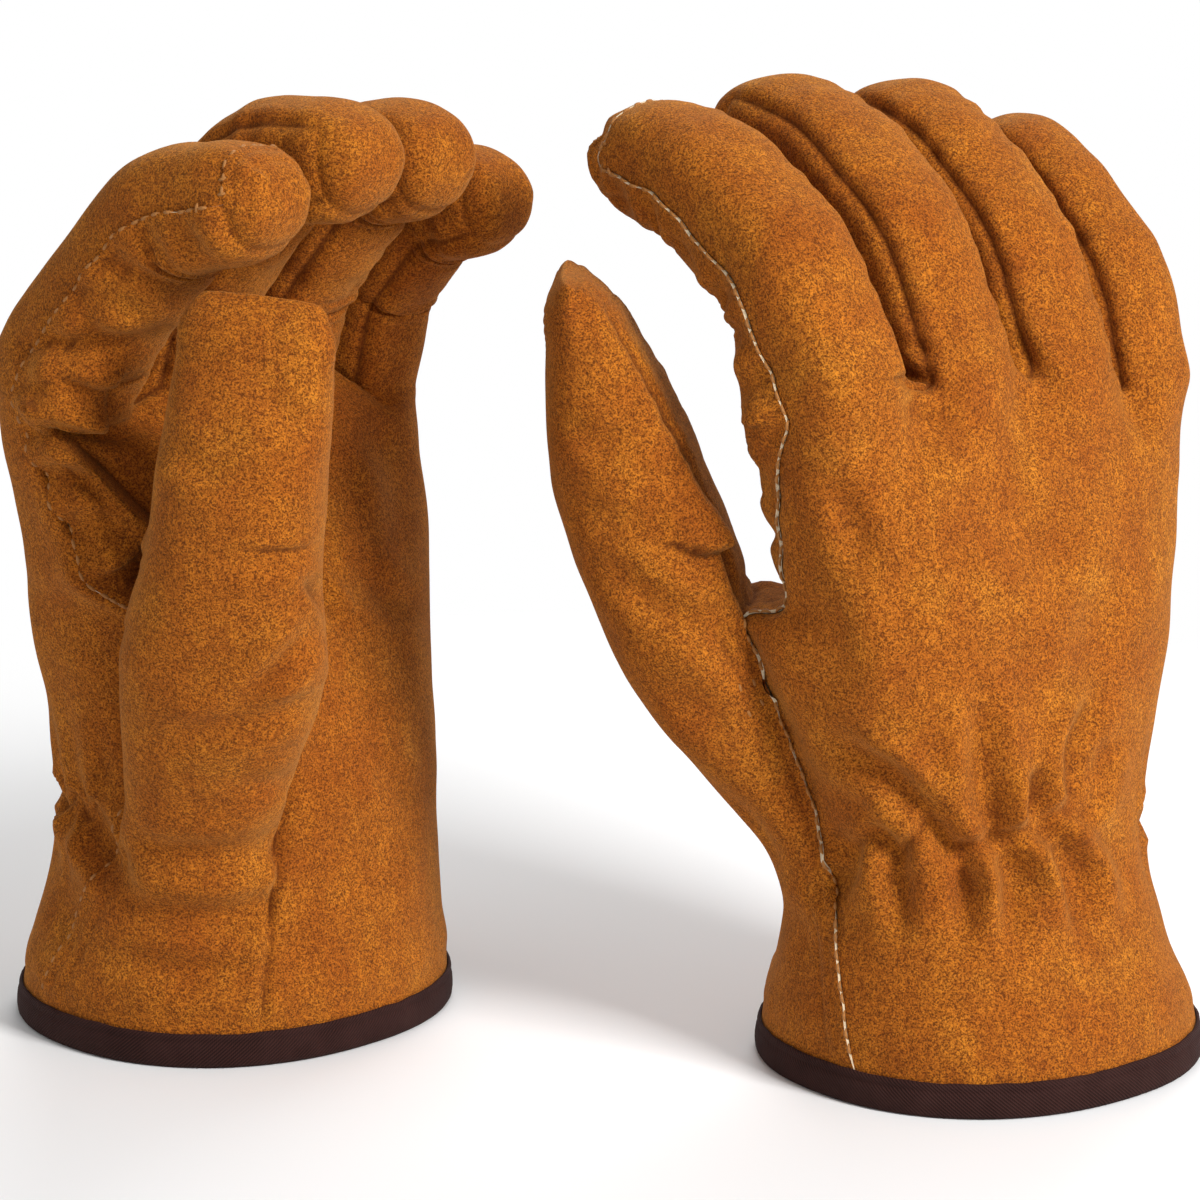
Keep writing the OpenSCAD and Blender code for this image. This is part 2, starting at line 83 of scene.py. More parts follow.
# Share of the length, of the width and of the depth
TAPER = ((0, 1, 1), (0.5, 0.98, 0.95), (0.85, 0.92, 0.85), (0.96, 0.8, 0.62), (1, 0.55, 0.28))
THUMB_TAPER = ((0, 1.2, 0.95), (0.25, 1.02, 1), (0.5, 1, 0.92), (0.64, 0.97, 0.8),
               (0.8, 0.93, 0.6), (0.92, 0.86, 0.4), (1, 0.62, 0.14))
digit_round = 2.4
ring_sides = 10
ring_step = 360 / ring_sides
spine_steps = 24

# Round the fold of the binding tape: distance out of the leather's face, and height
tape_in = leather_t + 2 * ply_gap + elastic_t + lining_t
TAPE_PROFILE = ((0.05, 7.5), (0.3, 8.0), (0.62, 8.05), (0.86, 7.8), (0.95, 7.3), (0.93, 6.7), (0.7, 6.2),
                (0.93, 5.7), (1.08, 5.0), (1.15, 3.6), (1.12, 2.2), (0.95, 1.0), (0.5, 0.25), (-0.4, 0.0),
                (-tape_in + 0.4, 0.0), (-tape_in - 0.5, 0.3), (-tape_in - 0.85, 1.0), (-tape_in - 0.95, 4.0),
                (-tape_in - 0.9, 7.2), (-tape_in - 0.6, 8.0), (-tape_in - 0.15, 7.5), (-tape_in - 0.12, 0.8),
                (0.04, 0.8))

# Relief of the leather
fine_levels = 3
fold_gain = 1.22                    # all folds of the photograph are this much deeper than their table says
deepest = 3.5                       # no fold goes deeper than this
web_roll = 5.2                      # how far the strip beside the lapped edge bulges above the thumb's fork
gather_pitch, gather_swing, gather_depth = 10.5, 2.2, 1.5
pleat_depth, pucker_depth = 0.9, 0.9
scallop_pitch, scallop_depth = 13.0, 1.1
seam_groove, stitch_dent = 1.0, 0.3
lap_lift, lap_slope = 0.85, 8       # how far the lapped edge stands up, and over what width
crease_depth, crease_width, crease_roll = 1.1, 1.5, 0.4
CREASES = ((-5.5, 0.45), (0.5, 1), (6.5, 0.5))      # creases of a bend: place along the digit, share of the depth
tip_bulge = 2.0                     # fullness of the thumb's end, on its sides and back
darkest_hollow = 0.35               # how deep a hollow takes the full painted shade of a crease
seam_reach, lap_reach = 14, 30      # how far from a seam its puckers are looked for


def finger_x(i):
    return sum(WIDTHS[:i]) + i * finger_gap + WIDTHS[i] / 2 - fingers_w / 2


# Pose of a digit: place of its root, lean, turn, flex at its root, and its bends (place, angle, length).
# A thumb's second and third values are its lean outward and its lean to the palm, as slopes.
right_shift, left_shift = -3.0, 0.0
thumb_turn = -40.0
POSES = {
    "right": (
        ((finger_x(0) + right_shift, 0, hand_h), -8, 0, 26, ((30, 27, 16), (60, 25, 14))),
        ((finger_x(1) + right_shift, 0, hand_h + 1), -2, 0, 25, ((32, 28, 16), (62, 24, 14))),
        ((finger_x(2) + right_shift, 0, hand_h - 1), -1.5, 0, 22, ((30, 27, 16), (58, 23, 12))),
        ((finger_x(3) + right_shift, 0, hand_h - 6), -1.5, 0, 16, ((24, 28, 14), (50, 22, 12))),
        ((-57, 40, fork_z), -0.22, 0.12, -6, ((40, 6, 30),))),
    "left": (
        ((finger_x(0) + left_shift, -4, hand_h - 3), 0, 7, 27, ((14, 17, 26), (55, 34, 20))),
        ((finger_x(1) + left_shift, -4, hand_h - 1), 0, 7, 17, ((18, 25, 26), (60, 43, 22))),
        ((finger_x(2) + left_shift, -4, hand_h - 3), 0, 7, 17, ((20, 25, 20), (58, 43, 20))),
        ((finger_x(3) + left_shift, -4, hand_h - 9), 0, 7, 15, ((22, 28, 14), (48, 38, 16))),
        ((-37, 44, fork_z - 5), 0.02, 0.15, -4, ((38, 8, 24),))),
}
# Height, middle across, middle towards the palm, half width, half depth and squareness
SECTIONS = {
    "right": ((0, 0, 1, cuff_w / 2, cuff_d / 2, 2.2), (gather_z, -4, 1, wrist_w / 2, wrist_d / 2, 2.2),
              (fork_z, -3, 0, palm_w / 2, palm_d / 2, 2.4),
              (hand_h, right_shift, 1, fingers_w / 2, knuckle_d / 2, 2.8)),
    "left": ((0, 0, 1, cuff_w / 2, cuff_d / 2, 2.2),
             (gather_z, 2, 5, wrist_w / 2 + left_ease, wrist_d / 2 + left_ease, 2.2),
             (fork_z, 1, 1.5, palm_w / 2, palm_d / 2 + left_ease / 2, 2.5),
             (hand_h, left_shift, -4, fingers_w / 2, knuckle_d / 2, 2.8)),
}
TURN = {"right": 39.0, "left": -135.0}
PLACE = {"right": (87.1, -18.2), "left": (-87.4, 17.8)}


# ---- plain rules ----
def ease(t):
    u = np.clip(t, 0, 1)
    return u * u * (3 - 2 * u)


def unit(v):
    return v / np.linalg.norm(v)


def unit_rows(v):
    return v / np.maximum(1e-9, np.linalg.norm(v, axis=1))[:, None]


def round_power(v, n):
    return math.copysign(abs(v) ** (2 / n), v)


def cosd(a):
    return math.cos(math.radians(a))


def sind(a):
    return math.sin(math.radians(a))


def read_rows(table, x, eased=False):
    """The values of a table at x, between its rows"""
    k = max([0] + [n for n in range(len(table) - 1) if x >= table[n][0]])
    a, b = np.array(table[k], float), np.array(table[k + 1], float)
    t = min(1, max(0, (x - a[0]) / (b[0] - a[0])))
    u = float(ease(t)) if eased else t
    return (a + (b - a) * u)[1:]


def bell(x, width):
    return np.exp(-(x / width) ** 2)


def wave_noise(points, size, seed):
    """Smooth noise from -1 to 1 with lumps of about the given size"""
    shift = Vector((seed * 17.3, seed * 5.7, seed * 11.1))
    return np.array([noise.noise(Vector(p) / size + shift) for p in points])


# ---- shape of a glove ----
class Shape:
    """The skin of one glove as a formula: its digits' rings and its hand's sections"""

    def __init__(self, side):
        self.pose = POSES[side]
        self.sections = SECTIONS[side]

    def axes(self, i):
        """A digit's own axes: across, towards the palm, and along"""
        q = self.pose[i]
        if i == THUMB:
            z = unit(np.array([q[1], q[2], 1.0]))
            p = np.array([cosd(thumb_turn), sind(thumb_turn), 0])
            y = unit(p - z * (z @ p))
            return np.cross(y, z), y, z
        x = np.array([cosd(q[1]), 0, -sind(q[1])])
        y = np.array([0, 1.0, 0])
        along = np.array([sind(q[1]), 0, cosd(q[1])])
        return cosd(q[2]) * x - sind(q[2]) * y, cosd(q[2]) * y + sind(q[2]) * x, along

    def flex(self, i, l):
        return self.pose[i][3] + sum(b[1] * float(ease((l - b[0]) / b[2] + 0.5)) for b in self.pose[i][4])

    def along(self, i, l):
        a, f = self.axes(i), self.flex(i, l)
        return cosd(f) * a[2] + sind(f) * a[1]

    def palmward(self, i, l):
        a, f = self.axes(i), self.flex(i, l)
        return cosd(f) * a[1] - sind(f) * a[2]

    def spine(self, i, l):
        steps = [self.along(i, (k + 0.5) * l / spine_steps) for k in range(spine_steps)]
        return np.array(self.pose[i][0]) + sum(steps) * l / spine_steps

    def digit_point(self, i, l, angle):
        size = read_rows(THUMB_TAPER if i == THUMB else TAPER, l / LENGTHS[i])
        w, d = size[0] * WIDTHS[i] / 2, size[1] * DEPTHS[i] / 2
        return (self.spine(i, l) + w * round_power(cosd(angle), digit_round) * self.axes(i)[0]
                + d * round_power(sind(angle), digit_round) * self.palmward(i, l))

    def section(self, z):
        return read_rows(self.sections, z, True)

    def col_angle(self, c, z):
        f, t = spread(c, FORK_SEAMS), z / fork_z
        if z <= fork_z:
            return spread(c, CUFF_SEAMS) * (1 - t) + f * t
        u = (z - fork_z) / (hand_h - fork_z)
        return f * (1 - u) + self.top_angle(c) * u

    def top_angle(self, c):
        if c > palm_end:
            return 540
        i, angle = top_point(c)
        q = self.section(hand_h)
        f = (self.pose[i][0][0] - q[0] + WIDTHS[i] / 2 * round_power(cosd(angle), digit_round)) / q[2]
        a = math.degrees(math.acos(min(1, abs(f)) ** (q[4] / 2)))
        if c == side_col:
            return 360
        if c < side_col:
            return 180 + a if f < 0 else 360 - a
        return 540 - a if f < 0 else 360 + a

    def hull_point(self, c, z, sunk=0.0):
        q, a = self.section(z), self.col_angle(c, z)
        return np.array([q[0] + (q[2] - sunk) * round_power(cosd(a), q[4]),
                         q[1] + (q[3] - sunk) * round_power(sind(a), q[4]), z])

    def wing_point(self, c, z):
        p = self.digit_point(THUMB, 0, thumb_angle(c))
        a = self.along(THUMB, 0)
        b = float(ease((z - wing_rise) / (fork_z - wing_rise)))
        return self.hull_point(c, z) * (1 - b) + (p + a * (z - self.pose[THUMB][0][2]) / a[2]) * b

    def above_fork(self, c, z):
        if c == 0:
            return self.hull_point(c, z)
        sunk = web_sunk * float(ease((hand_h - z) / (hand_h - fork_z)))
        p = self.hull_point(palm_end, z, sunk)
        return p if c == palm_end else (self.hull_point(0, z, sunk) + p) / 2

    def hand_point(self, c, z):
        if meets_thumb(c):
            return self.wing_point(c, z) if z <= fork_z else self.above_fork(c, z)
        near = 0 if c < side_col else palm_end
        h, k = self.hull_point(c, z), FOLLOW.get(min(c, abs(c - palm_end)), 0)
        if k == 0:
            return h
        d = self.hand_point(near, z) - self.hull_point(near, z)
        return h + np.array([d[0], d[1], 0]) * k


fan = ring_sides // 2 - 1
back_cols = 4 * fan
side_col = back_cols + 1
palm_end = side_col + back_cols
wing_cols = ring_sides - 3
low_cols = palm_end + 1 + wing_cols
fork_col = low_cols
CUFF_SEAMS, FORK_SEAMS = (195, 122), (158, 110)
wing_rise = 20.0
FOLLOW = {1: 0.55, 2: 0.25, 3: 0.1}


def spread(c, seams):
    if c <= side_col:
        return seams[0] + c * (360 - seams[0]) / side_col
    if c <= palm_end:
        return 360 + (c - side_col) * seams[1] / back_cols
    return 360 + seams[1] + (c - palm_end) * (seams[0] - seams[1]) / (wing_cols + 1)


def top_point(c):
    """The finger ring point that a column ends in: its finger and its angle round that finger"""
    if c == 0:
        return 0, 180
    if c == side_col:
        return 3, 360
    if c < side_col:
        return (c - 1) // fan, 180 + ring_step * (1 + (c - 1) % fan)
    return 3 - (c - side_col - 1) // fan, 360 + ring_step * (1 + (c - side_col - 1) % fan)


def thumb_angle(c):
    return ring_step * (1.5 if c == 0 else 2.5 if c == fork_col else 3.5 + c - palm_end)


def meets_thumb(c):
    return c == 0 or c >= palm_end


def mid_fold_at(i):
    return (0.5 if i == THUMB else 0.37) * LENGTHS[i]


def place(side, points):
    """Points of a glove put where it stands, in the shared frame"""
    p = np.array(points, float)
    x = p[..., 0] if side == "right" else -p[..., 0]
    c, s = cosd(TURN[side]), sind(TURN[side])
    across, deep = x * c - p[..., 1] * s + PLACE[side][0], x * s + p[..., 1] * c + PLACE[side][1]
    return np.stack([across, deep, p[..., 2]], -1)


def unplace(side, points):
    """Where the points lie in their glove's own frame"""
    c, s = cosd(TURN[side]), sind(TURN[side])
    x, y = points[:, 0] - PLACE[side][0], points[:, 1] - PLACE[side][1]
    u = x * c + y * s
    return np.stack([u if side == "right" else -u, y * c - x * s, points[:, 2]], -1)


# ---- the cage ----
foot_z = binding_t + ply_gap
LOW_ROWS = (foot_z, 4.5, 8.0, 13.0, 20.0, 27.0, 34.0, 41.0, 48.0, 54.0, 60.0, 67.0, 74.0, 81.0, 88.0,
            95.0, fork_z)
HIGH_ROWS = (109.0, 116.0, 123.0, 130.0, 137.0, 143.0, 149.0)
root_z = 137.0                      # height from which the columns run straight to the fingers' roots
cap_rise = 0.6                      # the middle of a fingertip above its last ring
fork_row = len(LOW_ROWS) - 1
last_row = fork_row + len(HIGH_ROWS) + 1


def digit_rows(i):
    """Lengths of a digit's rings, with one at the cut between its two leather pieces"""
    cut, end = mid_fold_at(i) - mid_fold_l / 2, LENGTHS[i]
    low = list(np.linspace(0, cut, 1 + round(cut / 6.5)))
    mid = list(np.linspace(cut, 0.85 * end, 1 + round((0.85 * end - cut) / 7)))[1:]
    return low + mid + [0.92 * end, 0.97 * end, end], len(low) - 1


class Cage:
    """Corner points and labelled faces of one glove, before subdivision"""

    def __init__(self, side):
        self.shape, self.index = Shape(side), {}
        self.points, self.faces, self.panels, self.pieces, self.cells = [], [], [], [], []
        self.build_hand()
        for i in range(len(DIGITS)):
            self.build_digit(i)

    def point(self, key):
        if key not in self.index:
            self.index[key] = len(self.points)
            if key[0] == "hand":
                z = LOW_ROWS[key[1]] if key[1] <= fork_row else HIGH_ROWS[key[1] - fork_row - 1]
                self.points.append(self.hand_place(key[2], z))
            elif key[0] == "cap":
                self.points.append(self.shape.spine(key[1], LENGTHS[key[1]] + cap_rise))
            else:
                _, i, k, l = key
                shift = 0.5 if i == THUMB else 0
                self.points.append(self.shape.digit_point(i, l, (k + shift) * ring_step))
        return self.index[key]

    def hand_place(self, c, z):
        """A point of the hand, on a straight way to the ring of its finger in the last rows"""
        if z <= root_z:
            return self.shape.hand_point(c, z)
        u = (z - root_z) / (hand_h - root_z)
        if c == fork_col:
            return (self.hand_place(0, z) + self.hand_place(palm_end, z)) / 2
        i, angle = top_point(c)
        low = self.shape.hand_point(c, root_z)
        return low * (1 - u) + self.shape.digit_point(i, 0.0, angle) * u

    def hand_key(self, r, c):
        if r == last_row:
            i, angle = top_point(c)
            return "digit", i, round(angle / ring_step) % ring_sides, 0.0
        if r == fork_row and meets_thumb(c):
            return "digit", THUMB, round(thumb_angle(c) / ring_step - 0.5) % ring_sides, 0.0
        return "hand", r, c

    def face(self, keys, panel, piece, cell=(-1, -1)):
        self.faces.append([self.point(k) for k in keys])
        self.panels.append(panel)
        self.pieces.append(piece)
        self.cells.append(cell)

    def cell(self, r, c, d, panel, piece):
        corners = ((r, d), (r + 1, d), (r + 1, c), (r, c))
        self.face([self.hand_key(*k) for k in corners], panel, piece, (r, c))

    def build_hand(self):
        for r in range(last_row):
            for c in range(palm_end):
                back = c < side_col
                self.cell(r, c, c + 1, "back" if back else "front", "back_panel" if back else "palm_panel")
            if r < fork_row:
                for c in range(palm_end, low_cols):
                    self.cell(r, c, (c + 1) % low_cols, "wing", "wing_panel")
            elif r < last_row - 1:
                self.cell(r, palm_end, fork_col, "wrap", "palm_panel")
                self.cell(r, fork_col, 0, "wrap", "palm_panel")
        r = last_row - 1
        ring = ((r, 0), (r + 1, 0), (r + 1, palm_end), (r, palm_end), (r, fork_col))
        self.face([self.hand_key(*k) for k in ring], "wrap", "palm_panel")
        for i in range(3):
            a = [("digit", i, k, 0.0) for k in (9, 0, 1)]
            b = [("digit", i + 1, k, 0.0) for k in (6, 5, 4)]
            self.face((a[0], b[0], b[1], a[1]), "fork", "fourchettes")
            self.face((a[1], b[1], b[2], a[2]), "fork", "fourchettes")

    def digit_panel(self, i, k, at_tip):
        """Panel of the strip of a digit between its ring points k and k + 1"""
        if i == THUMB:
            return "pad" if k in (1, 2) and not at_tip else "wing"
        if at_tip:
            return "back" if i else "cap"
        if i < 3 and k in (9, 0) or i > 0 and k in (4, 5):
            return "fork"
        if k in (5, 6, 7, 8, 9):
            return "back"
        return "wrap" if i == 0 and k in (3, 4) else "front"

    def build_digit(self, i):
        rows, cut = digit_rows(i)
        for j in range(len(rows) - 1):
            piece = DIGITS[i] + ("_lower" if j < cut else "_end")
            at_tip = rows[j] > 0.9 * LENGTHS[i]
            for k in range(ring_sides):
                e = (k + 1) % ring_sides
                ring = (("digit", i, k, rows[j]), ("digit", i, e, rows[j]),
                        ("digit", i, e, rows[j + 1]), ("digit", i, k, rows[j + 1]))
                self.face(ring, self.digit_panel(i, k, at_tip), piece)
        for k in range(0, ring_sides, 2):
            ring = [("digit", i, n % ring_sides, rows[-1]) for n in (k, k + 1, k + 2)]
            self.face([("cap", i)] + ring, self.digit_panel(i, k, True), DIGITS[i] + "_end")


# ---- subdivision ----
def add_up(values, into, count):
    out = np.zeros((count, values.shape[1]))
    for k in range(values.shape[1]):
        out[:, k] = np.bincount(into, values[:, k], count)
    return out


def subdivide(points, corners, counts):
    """One step of Catmull-Clark on polygons given as one list of corners; every new face is a quad"""
    n, m = len(points), len(counts)
    face = np.repeat(np.arange(m), counts)
    first = (np.cumsum(counts) - counts)[face]
    at = np.arange(len(corners)) - first
    after = first + (at + 1) % counts[face]
    before = first + (at - 1) % counts[face]
    centre = add_up(points[corners], face, m) / counts[:, None]
    low, high = np.minimum(corners, corners[after]), np.maximum(corners, corners[after])
    keys, edge = np.unique(low * n + high, return_inverse=True)
    used = np.bincount(edge)
    middle = (points[keys // n] + points[keys % n]) / 2
    inner = (used == 2)[:, None]
    edge_point = np.where(inner, middle / 2 + add_up(centre[face], edge, len(keys)) / 4, middle)
    ends = np.concatenate([keys // n, keys % n])
    valence = np.bincount(ends, minlength=n)[:, None]
    around = add_up(np.concatenate([middle, middle]), ends, n) / valence
    faces_at = np.bincount(corners, minlength=n)[:, None]
    centres = add_up(centre[face], corners, n) / faces_at
    smooth = (centres + 2 * around + (valence - 3) * points) / valence
    rim = np.concatenate([used == 1, used == 1])
    rim_count = np.bincount(ends[rim], minlength=n)[:, None]
    rim_middle = add_up(np.concatenate([middle, middle])[rim], ends[rim], n) / np.maximum(1, rim_count)
    vertex = np.where(rim_count > 0, points / 2 + rim_middle / 2, smooth)
    quads = np.stack([corners, n + edge, n + len(keys) + face, (n + edge)[before]], 1)
    return np.concatenate([vertex, edge_point, centre]), quads, face


def refine(points, faces, levels):
    """The subdivided points and quads, and for each quad the cage face that it lies in"""
    corners = np.concatenate([np.array(f) for f in faces])
    counts = np.array([len(f) for f in faces])
    parent = np.arange(len(faces))
    for _ in range(levels):
        points, quads, face = subdivide(points, corners, counts)
        parent = parent[face]
        corners, counts = quads.ravel(), np.full(len(quads), 4)
    return points, quads, parent


def fitted(points, faces, rounds=3):
    """The cage whose smooth surface runs through the points given"""
    target, cage = np.array(points), np.array(points)
    for _ in range(rounds):
        cage = cage + target - refine(cage, faces, 2)[0][:len(target)]
    return cage


def vertex_normals(points, quads):
    a, b = points[quads[:, 2]] - points[quads[:, 0]], points[quads[:, 3]] - points[quads[:, 1]]
    n = np.cross(a, b)
    out = np.zeros_like(points)
    for k in range(4):
        out += add_up(n, quads[:, k], len(points))
    return unit_rows(out)


# ---- seams ----
LAPPED = {("back", "wing"), ("back", "wrap"), ("back", "cap")}
PLAIN = {("front", "wing"), ("back", "front"), ("back", "fork"), ("fork", "front"), ("pad", "wing"),
         ("pad", "wrap"), ("cap", "fork"), ("cap", "front"), ("cap", "wrap")}
LAP_TOP = ("wing", "wrap", "cap")


class Skin:
    """The fine surface of one glove, in millimetres, in the shared frame"""

    def __init__(self, side, levels):
        cage = Cage(side)
        faces = cage.faces if side == "right" else [f[::-1] for f in cage.faces]
        points = place(side, cage.points)
        self.side = side
        base = fitted(points, faces)
        _, self.coarse_quads, coarse_parent = refine(base, faces, levels - 1)
        self.points, self.quads, parent = refine(base, faces, levels)
        self.panel = np.array(cage.panels)[parent]
        self.piece = np.array(cage.pieces)[parent]
        self.coarse_piece = np.array(cage.pieces)[coarse_parent]
        self.coarse_cell = np.array(cage.cells)[coarse_parent]
        self.normals = vertex_normals(self.points, self.quads)
        self.find_seams()
        self.walk_lap()

    def touching(self, faces):
        """Which points belong to one of the faces"""
        out = np.zeros(len(self.points), bool)
        out[np.unique(self.quads[faces])] = True
        return out

    def in_panels(self, names):
        return self.touching(np.isin(self.panel, names))

    def in_pieces(self, names):
        return self.touching(np.isin(self.piece, names))

    def find_seams(self):
        q = self.quads
        n = len(self.points)
        a = q.ravel()
        b = np.roll(q, -1, 1).ravel()
        face = np.repeat(np.arange(len(q)), 4)
        key = np.minimum(a, b) * n + np.maximum(a, b)
        order = np.argsort(key, kind="stable")
        same = key[order][1:] == key[order][:-1]
        one, two = face[order][:-1][same], face[order][1:][same]
        ends = np.stack([key[order][1:][same] // n, key[order][1:][same] % n], 1)
        pairs = [tuple(sorted((str(x), str(y)))) for x, y in zip(self.panel[one], self.panel[two])]
        self.lap_edges = ends[np.array([p in LAPPED for p in pairs])]
        self.plain_edges = ends[np.array([p in PLAIN for p in pairs])]

    def walk_lap(self):
        """The lapped seam's points in order from cuff to index fingertip, and how far along they lie"""
        beside = {}
        for a, b in self.lap_edges.tolist():
            beside.setdefault(a, []).append(b)
            beside.setdefault(b, []).append(a)
        ends = [k for k, v in beside.items() if len(v) == 1]
        here, last = min(ends, key=lambda k: self.points[k][2]), None
        chain = [here]
        while True:
            ahead = [k for k in beside[here] if k != last]
            if not ahead:
                break
            here, last = ahead[0], here
            chain.append(here)
        self.chain = np.array(chain)
        steps = np.linalg.norm(np.diff(self.points[chain], axis=0), axis=1)
        self.chain_at = np.concatenate([[0], np.cumsum(steps)])
        self.along_lap = np.zeros(len(self.points))
        self.along_lap[self.chain] = self.chain_at

    def nearest(self, edges, mask, reach):
        """Distance from each point in mask to the seam, and the seam's point nearest to it"""
        ids = np.unique(edges)
        tree = kdtree.KDTree(len(ids))
        for k in ids:
            tree.insert(Vector(self.points[k]), int(k))
        tree.balance()
        distance = np.full(len(self.points), float(reach))
        foot = np.arange(len(self.points))
        for k in np.nonzero(mask)[0]:
            _, index, d = tree.find(Vector(self.points[k]))
            if d < reach:
                distance[k], foot[k] = d, index
        return distance, foot


# ---- camera, which also says where the photograph's folds lie ----
camera_target = np.array([-0.4, -4.2, 102.0])
camera_pitch = 13.0
camera_distance = 1000.0
photo_px = 1200
photo_lens = 4400.0                 # focal length in pixels of the photograph
camera_at = camera_target + camera_distance * np.array([0, -cosd(camera_pitch), sind(camera_pitch)])


def photo_place(points):
    """Pixel of the photograph where each point shows"""
    p = points - camera_at
    depth = p @ np.array([0, cosd(camera_pitch), -sind(camera_pitch)])
    up = p @ np.array([0, sind(camera_pitch), cosd(camera_pitch)])
    return np.stack([photo_px / 2 + photo_lens * p[:, 0] / depth, photo_px / 2 - photo_lens * up / depth], 1)


def towards_camera(points, normals):
    v = camera_at - points
    return np.einsum("ij,ij->i", v, normals) / np.linalg.norm(v, axis=1)


def smooth_line(points, steps=6):
    """A Catmull-Rom curve through the points"""
    p = [np.array(q, float) for q in points]
    p = [2 * p[0] - p[1]] + p + [2 * p[-1] - p[-2]]
    out = []
    for k in range(1, len(p) - 2):
        for t in np.arange(steps) / steps:
            a, b, c, d = p[k - 1:k + 3]
            out.append(0.5 * (2 * b + (c - a) * t + (2 * a - 5 * b + 4 * c - d) * t * t
                              + (3 * b - a - 3 * c + d) * t ** 3))
    return np.array(out + [p[-2]])


def to_line(places, line):
    """Signed distance of each place to a line, and its share of the way along"""
    best = np.full(len(places), 1e9)
    signed = np.zeros(len(places))
    share = np.zeros(len(places))
    length = np.linalg.norm(np.diff(line, axis=0), axis=1)
    done = np.concatenate([[0], np.cumsum(length)])
    for k in range(len(line) - 1):
        a, d = line[k], (line[k + 1] - line[k]) / length[k]
        r = places - a
        t = np.clip(r @ d, 0, length[k])
        off = r - t[:, None] * d
        dist = np.linalg.norm(off, axis=1)
        near = dist < best
        best[near] = dist[near]
        signed[near] = (np.sign(d[0] * r[:, 1] - d[1] * r[:, 0]) * dist)[near]
        share[near] = ((done[k] + t) / done[-1])[near]
    return signed, share


